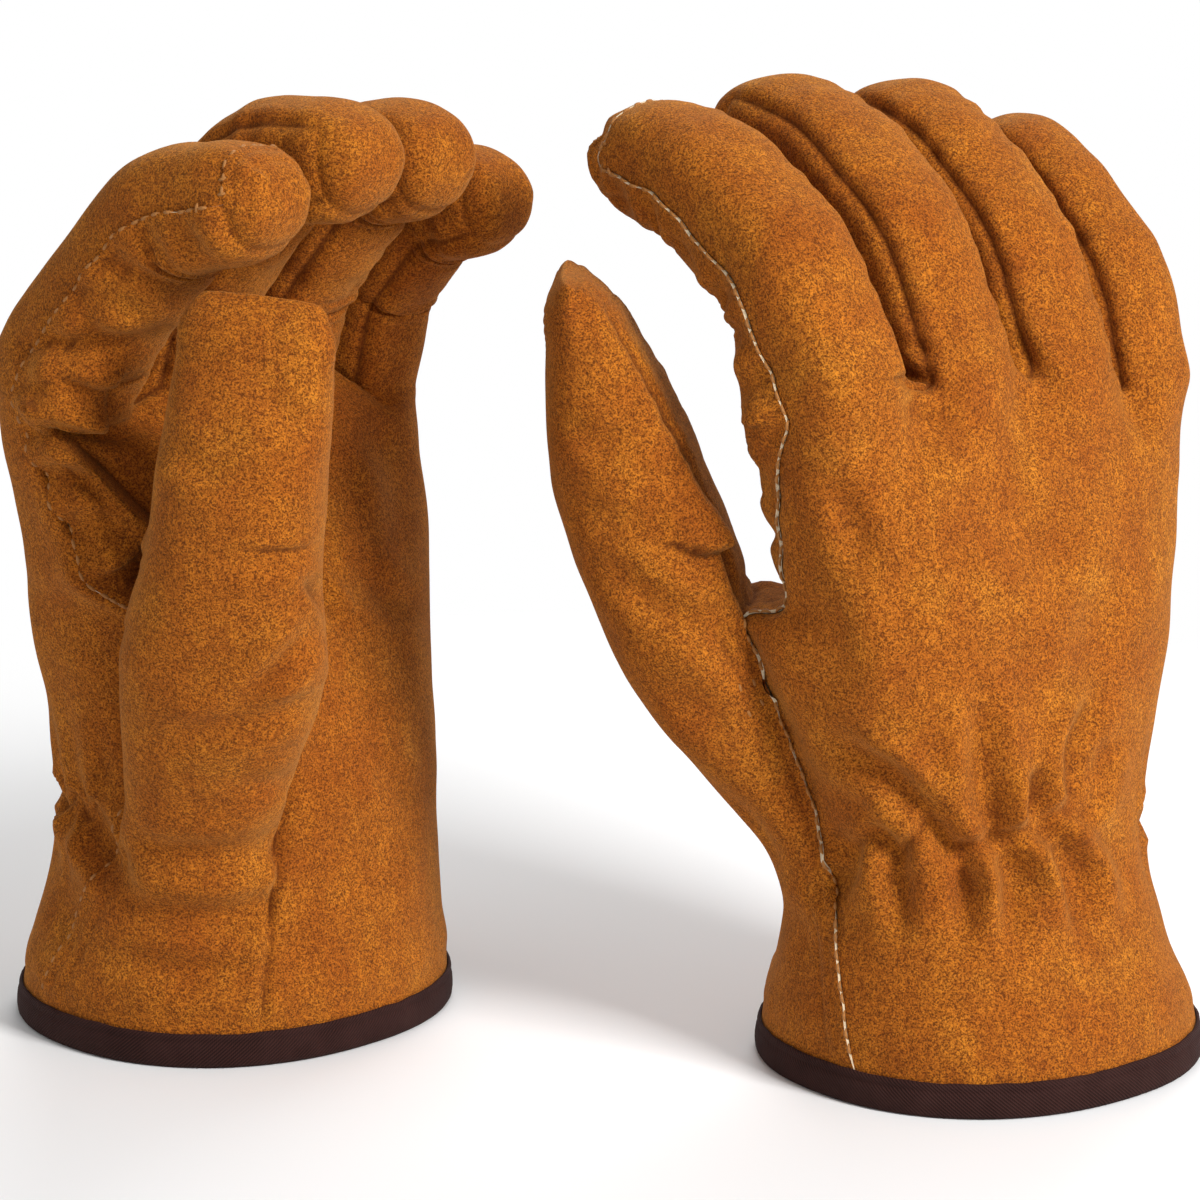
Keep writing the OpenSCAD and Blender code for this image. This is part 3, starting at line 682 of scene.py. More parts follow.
# Folds that the photograph shows: the pieces that they cross, depth and width in millimetres, and
# their way in pixels of the photograph
BACK = ("back_panel",)
WING = ("wing_panel", "thumb_lower")
FRONT = ("palm_panel",)
INDEX = ("index_lower", "index_end", "palm_panel")
MIDDLE = ("middle_lower", "middle_end")
RING = ("ring_lower", "ring_end")
THUMB_TUBE = ("thumb_lower", "thumb_end")
FOLDS = {
    "right": (
        # the gathering stitches across the wrist, the pleats above them and the folds below them
        (BACK, 1.9, 1.8, ((838, 838), (851, 852), (869, 835), (882, 836), (897, 855), (914, 838),
                          (930, 828), (951, 848), (972, 846), (989, 842), (1008, 836), (1019, 830),
                          (1044, 834), (1057, 812), (1079, 818), (1097, 803), (1112, 788))),
        (BACK, 3.3, 3.0, ((838, 742), (867, 763), (889, 776), (911, 799), (933, 821), (955, 850))),
        (BACK, 3.1, 3.3, ((982, 700), (984, 732), (984, 763), (989, 799), (997, 850))),
        (BACK, 2.5, 3.0, ((1034, 765), (1037, 800), (1037, 838))),
        (BACK, 2.8, 3.0, ((1096, 698), (1083, 724), (1073, 750), (1069, 780), (1060, 822))),
        (BACK, 2.3, 2.6, ((1108, 735), (1098, 770), (1088, 808))),
        (BACK, -1.5, 2.0, ((1030, 755), (1020, 785), (1010, 815), (1000, 846))),
        (BACK, -1.7, 2.0, ((1084, 692), (1064, 737), (1060, 772), (1053, 803), (1043, 840))),
        (BACK, 2.6, 3.0, ((842, 836), (850, 858), (842, 880), (834, 905))),
        (BACK, 2.3, 2.8, ((880, 832), (897, 866), (901, 900), (898, 935))),
        (BACK, 2.3, 3.0, ((946, 840), (964, 878), (966, 910), (960, 945))),
        (BACK, 2.7, 3.2, ((998, 838), (1013, 874), (1014, 905), (1016, 940))),
        (BACK, 2.7, 3.6, ((1050, 826), (1070, 861), (1079, 896), (1084, 930))),
        (BACK, -1.6, 2.2, ((1018, 816), (1037, 852), (1048, 874), (1058, 900), (1064, 935))),
        (BACK, -1.5, 2.2, ((1056, 796), (1079, 838), (1100, 868), (1110, 905))),
        (BACK, -1.1, 2.2, ((980, 824), (986, 869), (986, 905))),
        # round the forks of the fingers
        (BACK + ("middle_lower",), 1.8, 2.2, ((866, 336), (884, 352), (902, 370), (926, 384), (950, 392))),
        (BACK + ("middle_lower",), 1.0, 1.8, ((888, 330), (906, 346), (930, 352))),
        (BACK, 1.1, 3.2, ((900, 392), (925, 412), (960, 424), (1000, 420))),
        (BACK + ("ring_lower",), 1.2, 2.4, ((1010, 330), (1030, 360), (1055, 392))),
        (BACK, 1.2, 3.5, ((820, 470), (850, 520), (862, 570))),
        # wide hollows of the back
        (BACK, 1.4, 6.0, ((800, 600), (830, 650), (842, 710))),
        (BACK, 1.2, 6.0, ((985, 500), (1040, 540), (1085, 600))),
        (BACK, 1.3, 5.0, ((1120, 560), (1100, 630), (1096, 690))),
        # thumb and its root
        (WING, 1.4, 3.5, ((600, 560), (650, 600), (700, 625), (740, 640))),
        (WING, 1.2, 4.5, ((640, 690), (690, 705), (735, 735))),
        (WING, 1.5, 3.6, ((706, 800), (740, 822), (775, 870))),
        (WING, 0.9, 3.0, ((770, 900), (795, 925), (812, 960))),
        (THUMB_TUBE, 1.0, 3.0, ((566, 420), (596, 440), (630, 436))),
        (THUMB_TUBE, 1.0, 3.4, ((566, 490), (606, 520), (650, 520))),
        # puckers of the strip along the index finger
        (INDEX, 1.6, 2.4, ((672, 300), (692, 306), (716, 300))),
        (INDEX, 1.6, 2.4, ((690, 350), (708, 350), (734, 340))),
        (INDEX, 1.7, 2.6, ((704, 404), (724, 404), (750, 394))),
        (INDEX, 1.8, 2.6, ((716, 452), (738, 456), (766, 448))),
        (INDEX, 1.6, 2.2, ((736, 492), (752, 496), (772, 500))),
        (FRONT, 1.6, 2.6, ((728, 540), (744, 560), (752, 590))),
    ),
    "left": (
        # creases of the curled index finger
        (INDEX, 1.2, 2.4, ((70, 282), (112, 300), (160, 318))),
        (INDEX, 2.2, 2.8, ((36, 352), (80, 342), (120, 346), (168, 338))),
        (INDEX, 1.8, 2.6, ((30, 398), (62, 378), (96, 392), (140, 386))),
        (INDEX, 1.6, 2.4, ((24, 446), (60, 424), (104, 436), (138, 430))),
        (INDEX, 1.8, 3.2, ((22, 500), (46, 474), (84, 470), (112, 484))),
        (INDEX, 1.5, 2.8, ((30, 548), (58, 530), (90, 512))),
        (INDEX, 1.4, 3.0, ((120, 262), (160, 288), (206, 300))),
        (FRONT + ("wing_panel",), 0.9, 1.4, ((18, 574), (40, 576), (64, 572))),
        # creases of the other fingers behind the thumb
        (MIDDLE, 1.2, 2.2, ((272, 282), (300, 270), (330, 282))),
        (MIDDLE, 1.2, 2.2, ((290, 236), (330, 232), (360, 244))),
        (RING, 1.2, 2.2, ((346, 300), (372, 288), (404, 296))),
        (RING, 1.2, 2.2, ((360, 332), (390, 322), (420, 330))),
        # the thumb's root: short open folds, arcs and a deep wedge
        (WING + FRONT, 2.0, 1.8, ((306, 578), (322, 598), (338, 622))),
        (WING, 1.6, 2.6, ((318, 622), (296, 652), (258, 690), (220, 706))),
        (WING, 1.5, 3.0, ((318, 700), (270, 716), (214, 730), (168, 736))),
        (WING, 1.0, 2.4, ((326, 764), (280, 782), (232, 788))),
        (WING, 1.7, 3.4, ((118, 838), (168, 852), (232, 854), (304, 834))),
        (WING, 1.8, 3.4, ((108, 906), (168, 918), (246, 916), (316, 882))),
        (WING + BACK, 3.2, 3.0, ((66, 786), (92, 826), (112, 862), (128, 896))),
        (WING + BACK, 1.4, 3.6, ((44, 836), (60, 880), (66, 930))),
        (WING, 1.0, 3.4, ((130, 960), (180, 972), (236, 964))),
        (WING, 1.1, 3.4, ((74, 640), (88, 700), (84, 752))),
        (THUMB_TUBE, 0.9, 3.2, ((160, 440), (200, 470), (236, 466))),
        (THUMB_TUBE, 0.9, 3.4, ((262, 392), (300, 420), (326, 416))),
        (("thumb_lower", "wing_panel"), 1.2, 3.2, ((228, 560), (276, 556), (316, 540))),
        # the palm beside the thumb
        (FRONT, 1.2, 4.0, ((372, 420), (400, 470), (408, 540))),
        (FRONT, 1.1, 3.2, ((350, 560), (388, 600), (430, 612))),
        (FRONT, 1.0, 3.0, ((374, 770), (410, 790), (440, 788))),
    ),
}


def fold_depth(skin):
    """Height added by the folds of the photograph"""
    out = np.zeros(len(skin.points))
    places = photo_place(skin.points)
    facing = ease(towards_camera(skin.points, skin.normals) / 0.3)
    scale = camera_distance / photo_lens
    for pieces, depth, width, way in FOLDS[skin.side]:
        signed, share = to_line(places, smooth_line(way))
        x = signed * scale
        taper = np.sin(np.pi * np.clip(share, 0.02, 0.98)) ** 0.6
        shape = -bell(x, width) + 0.45 * bell(np.abs(x) - 1.9 * width, 0.9 * width)
        out += fold_gain * shape * depth * taper * facing * skin.in_pieces(pieces)
    return out


# ---- materials ----
def with_alpha(color):
    return (*color, 1) if isinstance(color, tuple) and len(color) == 3 else color


class Nodes:
    """Short calls for a material's nodes"""

    def __init__(self, name):
        self.material = bpy.data.materials.new(name)
        self.material.use_nodes = True
        self.tree = self.material.node_tree
        self.shader = self.tree.nodes["Principled BSDF"]
        self.place = self.add("ShaderNodeTexCoord").outputs["Object"]

    def add(self, kind, **inputs):
        node = self.tree.nodes.new(kind)
        for name, value in inputs.items():
            numbered = name[0] == "i" and name[1:].isdigit()
            self.put(node.inputs[int(name[1:]) if numbered else name.replace("_", " ")], value)
        return node

    def look(self, **inputs):
        """Sets or links the shader's own sockets"""
        for name, value in inputs.items():
            self.put(self.shader.inputs[name.replace("_", " ")], value)
        return self.material

    def put(self, socket, value):
        if isinstance(value, bpy.types.NodeSocket):
            self.tree.links.new(value, socket)
        else:
            socket.default_value = value

    def noise(self, size, detail=3.0, rough=0.55, stretch=(1, 1, 1)):
        scaled = self.add("ShaderNodeMapping", Vector=self.place, Scale=stretch)
        out = self.add("ShaderNodeTexNoise", Vector=scaled.outputs[0], Scale=1 / (size * MM),
                       Detail=detail, Roughness=rough)
        return out.outputs["Fac"]

    def ramp(self, value, stops):
        node = self.add("ShaderNodeValToRGB", Fac=value)
        ramp = node.color_ramp
        while len(ramp.elements) < len(stops):
            ramp.elements.new(0.5)
        for element, (at, color) in zip(ramp.elements, stops):
            element.position = at
            element.color = with_alpha(color)
        return node.outputs["Color"]

    def grey(self, value, low, high):
        """A value spread from the range low to high onto 0 to 1"""
        return self.add("ShaderNodeMapRange", Value=value, From_Min=low, From_Max=high).outputs[0]

    def math(self, kind, a, b=0.0):
        node = self.add("ShaderNodeMath", i0=a, i1=b)
        node.operation = kind
        return node.outputs[0]

    def mix(self, share, a, b):
        node = self.tree.nodes.new("ShaderNodeMix")
        node.data_type = "RGBA"
        self.put(node.inputs[0], share)
        self.put(node.inputs[6], with_alpha(a))
        self.put(node.inputs[7], with_alpha(b))
        return node.outputs[2]

    def bump(self, height, distance, strength, under=None):
        node = self.add("ShaderNodeBump", Height=height, Distance=distance * MM, Strength=strength)
        if under:
            self.put(node.inputs["Normal"], under)
        return node.outputs[0]

    def attribute(self, name):
        node = self.tree.nodes.new("ShaderNodeAttribute")
        node.attribute_name = name
        return node.outputs["Fac"]


def suede():
    """Split leather: brushed patches, a felted nap with dark specks, and painted shade in the hollows of the
    folds
    """
    n = Nodes("suede")
    patches = n.noise(17, 3, 0.62)
    streaks = n.noise(6, 4, 0.6, (1, 1, 0.45))
    nap = n.noise(1.05, 5, 0.66)
    grain = n.noise(0.42, 3, 0.62)
    base = n.ramp(patches, ((0.30, (0.48, 0.130, 0.011)), (0.5, (0.58, 0.180, 0.015)),
                            (0.72, (0.68, 0.240, 0.021))))
    base = n.mix(n.grey(streaks, 0.36, 0.66), n.mix(0.5, base, (0.32, 0.080, 0.009)), base)
    brushed = n.mix(n.grey(nap, 0.38, 0.60), n.mix(0.68, base, (0.20, 0.045, 0.006)), base)
    color = n.mix(n.grey(grain, 0.40, 0.56), n.mix(0.85, brushed, (0.075, 0.018, 0.004)), brushed)
    # painted shade: the colour turns darker and redder in the hollows of the folds, where shade falls
    color = n.mix(n.math("MULTIPLY", n.attribute("painted_crease_shade"), 0.8), color, (0.10, 0.022, 0.004))
    felt = n.bump(grain, 0.26, 0.9, n.bump(nap, 0.6, 0.6))
    return n.look(Base_Color=color, Normal=felt, Roughness=0.95, Specular_IOR_Level=0.1,
                  Sheen_Weight=0.28, Sheen_Roughness=0.4, Sheen_Tint=(1.0, 0.55, 0.16, 1))


def tape_material():
    """Brown twill: fine slanting ribs along the tape"""
    n = Nodes("binding_tape")
    height = n.add("ShaderNodeSeparateXYZ", Vector=n.place).outputs["Z"]
    slant = n.math("ADD", n.math("MULTIPLY", n.attribute("way"), 2 * math.pi / 0.95),
                   n.math("MULTIPLY", height, 2 * math.pi / (0.85 * MM)))
    rib = n.grey(n.math("SINE", slant), -1, 1)
    cross = n.grey(n.math("SINE", n.math("MULTIPLY", n.attribute("way"), 2 * math.pi / 0.42)), -1, 1)
    weave = n.math("ADD", n.math("MULTIPLY", rib, 0.75), n.math("MULTIPLY", cross, 0.25))
    worn = n.noise(9, 3, 0.6)
    color = n.mix(weave, (0.009, 0.003, 0.0025), (0.042, 0.0145, 0.0115))
    color = n.mix(n.grey(worn, 0.35, 0.7), color, n.mix(0.3, color, (0.06, 0.024, 0.02)))
    return n.look(Base_Color=color, Normal=n.bump(weave, 0.22, 0.9), Roughness=0.85,
                  Specular_IOR_Level=0.12)


def plain_material(name, color, size, roughness):
    n = Nodes(name)
    value = n.noise(size, 4, 0.6)
    dark = tuple(0.6 * c for c in color)
    return n.look(Base_Color=n.mix(n.grey(value, 0.35, 0.65), dark, color), Roughness=roughness,
                  Normal=n.bump(value, size * 0.4, 0.8))


SUEDE = suede()
RAW_EDGE = plain_material("raw_edge", (0.72, 0.58, 0.38), 0.5, 0.95)
BINDING = tape_material()
LINING = plain_material("lining_fleece", (0.68, 0.58, 0.42), 1.2, 0.95)
ELASTIC = plain_material("elastic_braid", (0.74, 0.70, 0.62), 0.6, 0.8)
THREAD = plain_material("sewing_thread", (0.40, 0.155, 0.025), 0.3, 0.7)


# ---- making objects ----
def add_object(name, data):
    obj = bpy.data.objects.new(name, data)
    bpy.context.scene.collection.objects.link(obj)
    return obj


def add_value(mesh, name, values):
    attribute = mesh.attributes.new(name, "FLOAT", "POINT")
    attribute.data.foreach_set("value", np.asarray(values, np.float32))


def make_object(name, points, faces, materials, body, face_material=None, normals=None, painted_crease_shade=None):
    mesh = bpy.data.meshes.new(name)
    mesh.from_pydata((np.asarray(points) * MM).tolist(), [], [list(map(int, f)) for f in faces])
    for material in materials:
        mesh.materials.append(material)
    if face_material is not None:
        mesh.polygons.foreach_set("material_index", np.asarray(face_material, np.int32))
    mesh.polygons.foreach_set("use_smooth", np.ones(len(faces), bool))
    if painted_crease_shade is not None:
        # painted crease shade, stored as a point attribute for the leather's material
        add_value(mesh, "painted_crease_shade", painted_crease_shade)
    if normals is not None:
        mesh.normals_split_custom_set(normals.tolist())
    mesh.update()
    piece = add_object(name, mesh)
    if body:
        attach(piece, body)
    return piece


def shell(name, points, normals, quads, thickness, body, materials, edge_of=None, painted_crease_shade=None):
    """A closed sheet: its outer face, an inner face moved in by the thickness, and a rim between.
    The rim along the edges in edge_of takes the second material."""
    thickness = np.broadcast_to(thickness, len(points))
    used = np.unique(quads)
    new = np.full(len(points), -1)
    new[used] = np.arange(len(used))
    n, q = len(used), new[quads]
    outer, out_normal = points[used], normals[used]
    inner = outer - out_normal * thickness[used][:, None]
    a, b = q.ravel(), np.roll(q, -1, 1).ravel()
    keys = set(zip(a.tolist(), b.tolist()))
    rim = [(x, y) for x, y in keys if (y, x) not in keys]
    rim_quads = np.array([(y, x, n + x, n + y) for x, y in rim])
    faces = np.concatenate([q, n + q[:, ::-1], rim_quads])
    index = np.zeros(len(faces), int)
    if edge_of is not None:
        special = set(new[edge_of].tolist()) - {-1}
        for k, (x, y) in enumerate(rim):
            if x in special and y in special:
                index[2 * len(q) + k] = 1
    corner = np.empty((len(faces), 4, 3))
    corner[:len(q)] = out_normal[q]
    corner[len(q):2 * len(q)] = -out_normal[q[:, ::-1]]
    both = np.concatenate([outer, inner])
    r = both[rim_quads]
    corner[2 * len(q):] = unit_rows(np.cross(r[:, 2] - r[:, 0], r[:, 3] - r[:, 1]))[:, None]
    both_painted_crease_shade = None if painted_crease_shade is None else np.concatenate([painted_crease_shade[used], painted_crease_shade[used]])
    return make_object(name, both, faces, materials, body, index, corner.reshape(-1, 3), both_painted_crease_shade)


HAND_PIECES = ("back_panel", "palm_panel", "wing_panel", "fourchettes")


# ---- a glove ----
def digit_creases(skin, shape):
    """Cross creases where the digits bend, on their palm side, and slack rolls on their backs"""
    out = np.zeros(len(skin.points))
    skin.near_tip = np.zeros(len(skin.points))
    p = unplace(skin.side, skin.points)
    n = unplace(skin.side, skin.points + skin.normals) - p
    for i, digit in enumerate(DIGITS):
        mask = np.nonzero(skin.in_pieces((digit + "_lower", digit + "_end")))[0]
        lengths = np.linspace(0, LENGTHS[i], 45)
        line = np.array([shape.spine(i, l) for l in lengths])
        palm = np.array([shape.palmward(i, l) for l in lengths])
        near = np.argmin(((p[mask][:, None] - line[None]) ** 2).sum(-1), 1)
        l = lengths[near] + 1.6 * wave_noise(p[mask], 9, 11 + i) + 0.6 * wave_noise(p[mask], 4, 21 + i)
        skin.near_tip[mask] = ease((lengths[near] / LENGTHS[i] - 0.82) / 0.1)
        facing = np.einsum("ij,ij->i", n[mask], palm[near])
        if i == THUMB:
            out[mask] += tip_bulge * bell(lengths[near] / LENGTHS[i] - 0.97, 0.09) * ease((0.2 - facing) / 0.6)
        inward, outward = ease((facing - 0.1) / 0.5), ease((-facing - 0.3) / 0.5)
        for at, angle, _ in shape.pose[i][4]:
            strength = min(1.3, angle / 24)
            for step, share in CREASES:
                uneven = np.clip(0.7 + 1.1 * wave_noise(p[mask], 10, 41 + i + step), 0, 1.2)
                patchy = share * strength * uneven
                out[mask] -= crease_depth * patchy * bell(l - at - step, crease_width) * inward
                out[mask] += crease_roll * patchy * bell(l - at - step - 3.2, 2.2) * inward
            out[mask] += 0.35 * strength * wave_noise(p[mask], 7, 31 + i) * bell(l - at, 9) * outward
    return out


def wrist_gather(skin, shape):
    """The zigzag of the gathering stitches round the back of the wrist, with pleats above and below"""
    p = unplace(skin.side, skin.points)
    z = p[:, 2]
    q = shape.section(gather_z)
    around = np.arctan2((p[:, 1] - q[1]) / q[3], (p[:, 0] - q[0]) / q[2]) * (q[2] + q[3]) / 2
    around = around + 1.5 * wave_noise(p, 22, 5)
    turn = 2 * np.pi * around / gather_pitch
    line = gather_z + gather_swing * np.cos(turn) + 0.8 * wave_noise(p, 10, 6)
    out = -gather_depth * bell(z - line, 1.5) + 0.5 * bell(np.abs(z - line) - 2.9, 1.6)
    above, below = ease((z - line) / 3), ease((line - z) / 3)
    out += pleat_depth * np.cos(turn) * above * bell(z - gather_z - 3, 15)
    out -= pleat_depth * np.cos(turn) * below * bell(z - gather_z + 3, 12)
    ends = ease((skin.plain_distance - 5) / 9) * ease((skin.lap_distance - 3) / 8)
    hidden = 1 - ease(towards_camera(skin.points, skin.normals) / 0.3) if skin.side == "right" else 1.0
    return out * ends * hidden * skin.in_panels(("back",)) * (z < hand_h / 2 + 30)


def sew_and_fold(skin, shape):
    """Moves the fine surface: folds, seams, puckers, gathers and the lapped edge"""
    every = np.ones(len(skin.points), bool)
    plain, plain_foot = skin.nearest(skin.plain_edges, every, seam_reach)
    near_lap = skin.in_panels(("back", "wing", "wrap", "cap", "front"))
    lap, lap_foot = skin.nearest(skin.lap_edges, near_lap, lap_reach)
    skin.lap_distance, skin.plain_distance = lap, plain
    p = skin.points
    z = p[:, 2]
    free = ease((z - binding_h) / 6)
    d = fold_depth(skin) + digit_creases(skin, shape) + wrist_gather(skin, shape)
    d += 0.9 * wave_noise(p, 32, 1) + 0.5 * wave_noise(p, 13, 2)
    groove = 1 - 0.6 * skin.near_tip
    d += groove * (-seam_groove * bell(plain, 1.0) + 0.4 * bell(plain - 3.2, 2))
    d += pucker_depth * wave_noise(p[plain_foot], 4.5, 3) * bell(plain, 7) * (plain < seam_reach) * groove
    lapped = skin.in_panels(LAP_TOP)
    strip = ease(1 - lap / 11) * (lap < lap_reach)
    way = skin.along_lap[lap_foot]
    d += 0.6 * wave_noise(p[lap_foot], 6, 4) * strip
    upper = ease((way - 0.42 * skin.chain_at[-1]) / 20) * ease((skin.chain_at[-1] - way - 14) / 12)
    scallops = np.sin(2 * np.pi * way / scallop_pitch + 1.2 * wave_noise(p[lap_foot], 20, 7))
    d += scallop_depth * scallops * bell(lap - 6, 5) * upper * lapped
    for row in (stitch_in, stitch_in + stitch_pitch):
        d -= stitch_dent * bell(lap - row, 0.7) * lapped
    # the strip rolls out towards the thumb between the thumb's fork and the index finger
    fork_way = skin.chain_at[np.searchsorted(p[skin.chain][:, 2], fork_z)]
    rolled = ease((way - fork_way - 2) / 20) * ease((fork_way + 92 - way) / 30)
    d += web_roll * rolled * ease(lap / 7) * ease((28 - lap) / 14) * lapped
    d += 0.7 * bell(z - 15, 5) + 0.3 * wave_noise(p * np.array([1, 1, 0.35]), 4, 8) * bell(z - 11, 6)
    d = np.where(d < 0, -deepest * np.tanh(-d / deepest), d)
    skin.base, skin.base_normals, skin.depth = p, skin.normals, d * free
    skin.points = p + skin.normals * (d * free)[:, None]
    # the raw edge wanders a little to either side
    tangents = np.gradient(p[skin.chain], axis=0)
    drift = np.zeros_like(p)
    drift[skin.chain] = unit_rows(np.cross(skin.normals[skin.chain], tangents))
    wander = 0.9 * wave_noise(p[lap_foot], 7, 9) * bell(lap, 4) * (lap < 12) * free
    skin.points += drift[lap_foot] * wander[:, None]


def split_lap(skin):
    """Frees the lapped edge: the panels on top get their own points along the seam, and lie higher"""
    top = np.isin(skin.panel, LAP_TOP)
    ids = np.unique(skin.lap_edges)
    new = np.arange(len(skin.points))
    new[ids] = len(skin.points) + np.arange(len(ids))
    skin.quads = skin.quads.copy()
    skin.quads[top] = new[skin.quads[top]]
    for name in ("points", "normals", "lap_distance", "near_tip"):
        values = getattr(skin, name)
        setattr(skin, name, np.concatenate([values, values[ids]]))
    skin.top_rim = new[ids]
    skin.top_chain = new[skin.chain]
    raised, pressed = lap_lift * ease(1 - skin.lap_distance / lap_slope), -0.1 * bell(skin.lap_distance, 3)
    lift = np.where(skin.touching(top), raised, pressed)
    lift *= ease((skin.points[:, 2] - 4) / 10) * (1 - 0.75 * skin.near_tip)
    skin.points = skin.points + skin.normals * lift[:, None]


def make_glove(side):
    skin, shape = Skin(side, fine_levels), Shape(side)
    sew_and_fold(skin, shape)
    skin.normals = vertex_normals(skin.points, skin.quads)
    make_lining(skin, shape)
    split_lap(skin)
    skin.normals = vertex_normals(skin.points, skin.quads)
    # painted shade: the depth of each hollow darkens the leather's colour there
    painted_crease_shade = ease(-skin_hollow(skin) / darkest_hollow)
    thickness = leather_t * (1 - edge_skived * bell(skin.lap_distance, 2.5))
    for piece in dict.fromkeys(skin.piece.tolist()):
        quads = skin.quads[skin.piece == piece]
        body = f"{side}_hand" if piece in HAND_PIECES else None
        obj = shell(f"{side}_{piece}_leather", skin.points, skin.normals, quads, thickness, body,
                    (SUEDE, RAW_EDGE), skin.top_rim, painted_crease_shade)
        dress(obj, side, piece, shape)
    make_stitches(skin, shape)
    make_binding(side, shape)


def make_lining(skin, shape):
    """The lining of the hand, a sock for each digit, and the elastic under the gathered wrist"""
    side = skin.side
    sock_in = leather_t + ply_gap
    hand_in = sock_in + elastic_t + ply_gap

    def under(inset, quads):
        """The skin moved in by inset and by its folds, with its normals"""
        depth = np.minimum(skin.depth, 0.4) - inset
        points = skin.base + skin.base_normals * depth[:, None]
        return points, vertex_normals(points, quads)

    in_hand = np.isin(skin.coarse_piece, HAND_PIECES)
    points, normals = under(hand_in + fold_room, skin.coarse_quads)
    lining = shell(f"{side}_hand_lining_fleece", points, normals, skin.coarse_quads[in_hand],
                   lining_t, f"{side}_hand", (LINING,))
    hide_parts(f"{side}_hand_lining")
    points, normals = under(sock_in + fold_room, skin.coarse_quads)
    for i, digit in enumerate(DIGITS):
        for half in ("lower", "end"):
            quads = skin.coarse_quads[skin.coarse_piece == f"{digit}_{half}"]
            sock = shell(f"{side}_{digit}_{half}_lining", points, normals, quads,
                         lining_t, None, (LINING,))
            if i == 0 and half == "lower":
                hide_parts(f"{side}_finger_linings")
            follow_joint(sock, side, digit, half, shape)
    rows = [k for k in range(fork_row) if gather_z - elastic_w / 2 <= LOW_ROWS[k] < gather_z + elastic_w / 2]
    cell = skin.coarse_cell
    band = in_hand & np.isin(cell[:, 0], rows) & (cell[:, 1] >= 3) & (cell[:, 1] < side_col - 3)
    points, normals = under(sock_in + 0.2, skin.coarse_quads)
    elastic = shell(f"{side}_wrist_elastic_braid", points, normals,
                    skin.coarse_quads[band], elastic_t, f"{side}_hand", (ELASTIC,))
    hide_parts(f"{side}_wrist_elastic")


def make_binding(side, shape):
    """Woven tape folded over the foot of leather and lining, with a shallow groove round its outer face"""
    around, sides = 360, len(TAPE_PROFILE)
    angles = np.arange(around) * 2 * np.pi / around
    points = np.zeros((around, sides, 3))
    for k, a in enumerate(angles):
        lump = noise.noise(Vector((9 * math.cos(a), 9 * math.sin(a), 3.0 if side == "right" else 7.0)))
        fine = noise.noise(Vector((60 * math.cos(a), 60 * math.sin(a), 5.0)))
        for j, (out, z) in enumerate(TAPE_PROFILE):
            q = shape.section(z)
            high = z + 0.35 * lump * (z > 5)
            rib = 0.08 * fine * (out > 0.5)
            x = q[0] + (q[2] + out + rib) * round_power(math.cos(a), q[4])
            y = q[1] + (q[3] + out + rib) * round_power(math.sin(a), q[4])
            points[k, j] = (x, y, high)
    ids = np.arange(around * sides).reshape(around, sides)
    nxt = np.roll(ids, -1, 0)
    faces = np.stack([ids, np.roll(ids, -1, 1), np.roll(nxt, -1, 1), nxt], -1).reshape(-1, 4)
    if side == "left":
        faces = faces[:, ::-1]
    steps = np.linalg.norm(np.diff(points[:, 0, :2], axis=0, append=points[:1, 0, :2]), axis=1)
    way = np.concatenate([[0], np.cumsum(steps)[:-1]])
    flat = place(side, points.reshape(-1, 3))
    tape = make_object(f"{side}_cuff_binding_tape", flat, faces, (BINDING,), f"{side}_hand")
    add_value(tape.data, "way", np.repeat(way, sides))
    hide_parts(f"{side}_cuff_binding")


def make_stitches(skin, shape):
    """Two rows of stitches beside the lapped edge, laid on the leather"""
    side = skin.side
    top = np.isin(skin.panel, LAP_TOP)
    quads, names = skin.quads[top], skin.piece[top]
    tree = BVHTree.FromPolygons(skin.points.tolist(), quads.tolist())
    seam = skin.points[skin.top_chain]
    normals = skin.normals[skin.top_chain]
    tangents = unit_rows(np.gradient(seam, axis=0))
    across = np.cross(normals, tangents) * (1 if side == "left" else -1)
    groups = {}
    for row in (stitch_in, stitch_in + stitch_pitch):
        for at in np.arange(binding_h + 4, skin.chain_at[-1] - 3, stitch_l + stitch_space):
            k = int(np.searchsorted(skin.chain_at, at))
            place_at = seam[k] + across[k] * row
            hit, normal, face, _ = tree.find_nearest(Vector(place_at))
            if hit is None or (Vector(place_at) - hit).length > 4:
                continue
            piece = str(names[face])
            group = piece if piece.startswith("index") else "hand"
            groups.setdefault(group, []).append((np.array(hit), np.array(normal), tangents[k]))
    for group, stitches in groups.items():
        points, faces = [], []
        for centre, normal, tangent in stitches:
            one_stitch(points, faces, centre, normal, tangent)
        body = f"{side}_hand" if group == "hand" else None
        obj = make_object(f"{side}_{group}_stitches", points, faces, (THREAD,), body)
        if group == "hand":
            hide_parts(f"{side}_seam_thread")
        else:
            follow_joint(obj, side, *group.split("_"), shape)


def one_stitch(points, faces, centre, normal, tangent):
    """A short round thread that dips into the leather at both ends"""
    t = tangent - normal * (tangent @ normal)
    t /= np.linalg.norm(t)
    b = np.cross(normal, t)
    first, sides, rings = len(points), 6, 5
    for k in range(rings):
        u = k / (rings - 1) * 2 - 1
        r = stitch_r * (1 - 0.55 * u ** 4)
        mid = centre + t * (u * stitch_l / 2) + normal * (-0.1 - 0.45 * u * u)
        points.extend(mid + r * (cosd(a) * b + sind(a) * normal) for a in np.arange(sides) * 360 / sides)
    for k in range(rings - 1):
        for j in range(sides):
            e = (j + 1) % sides
            low = first + k * sides
            faces.append((low + j, low + sides + j, low + sides + e, low + e))
    faces.append([first + j for j in range(sides)])
    faces.append([first + (rings - 1) * sides + j for j in range(sides - 1, -1, -1)])


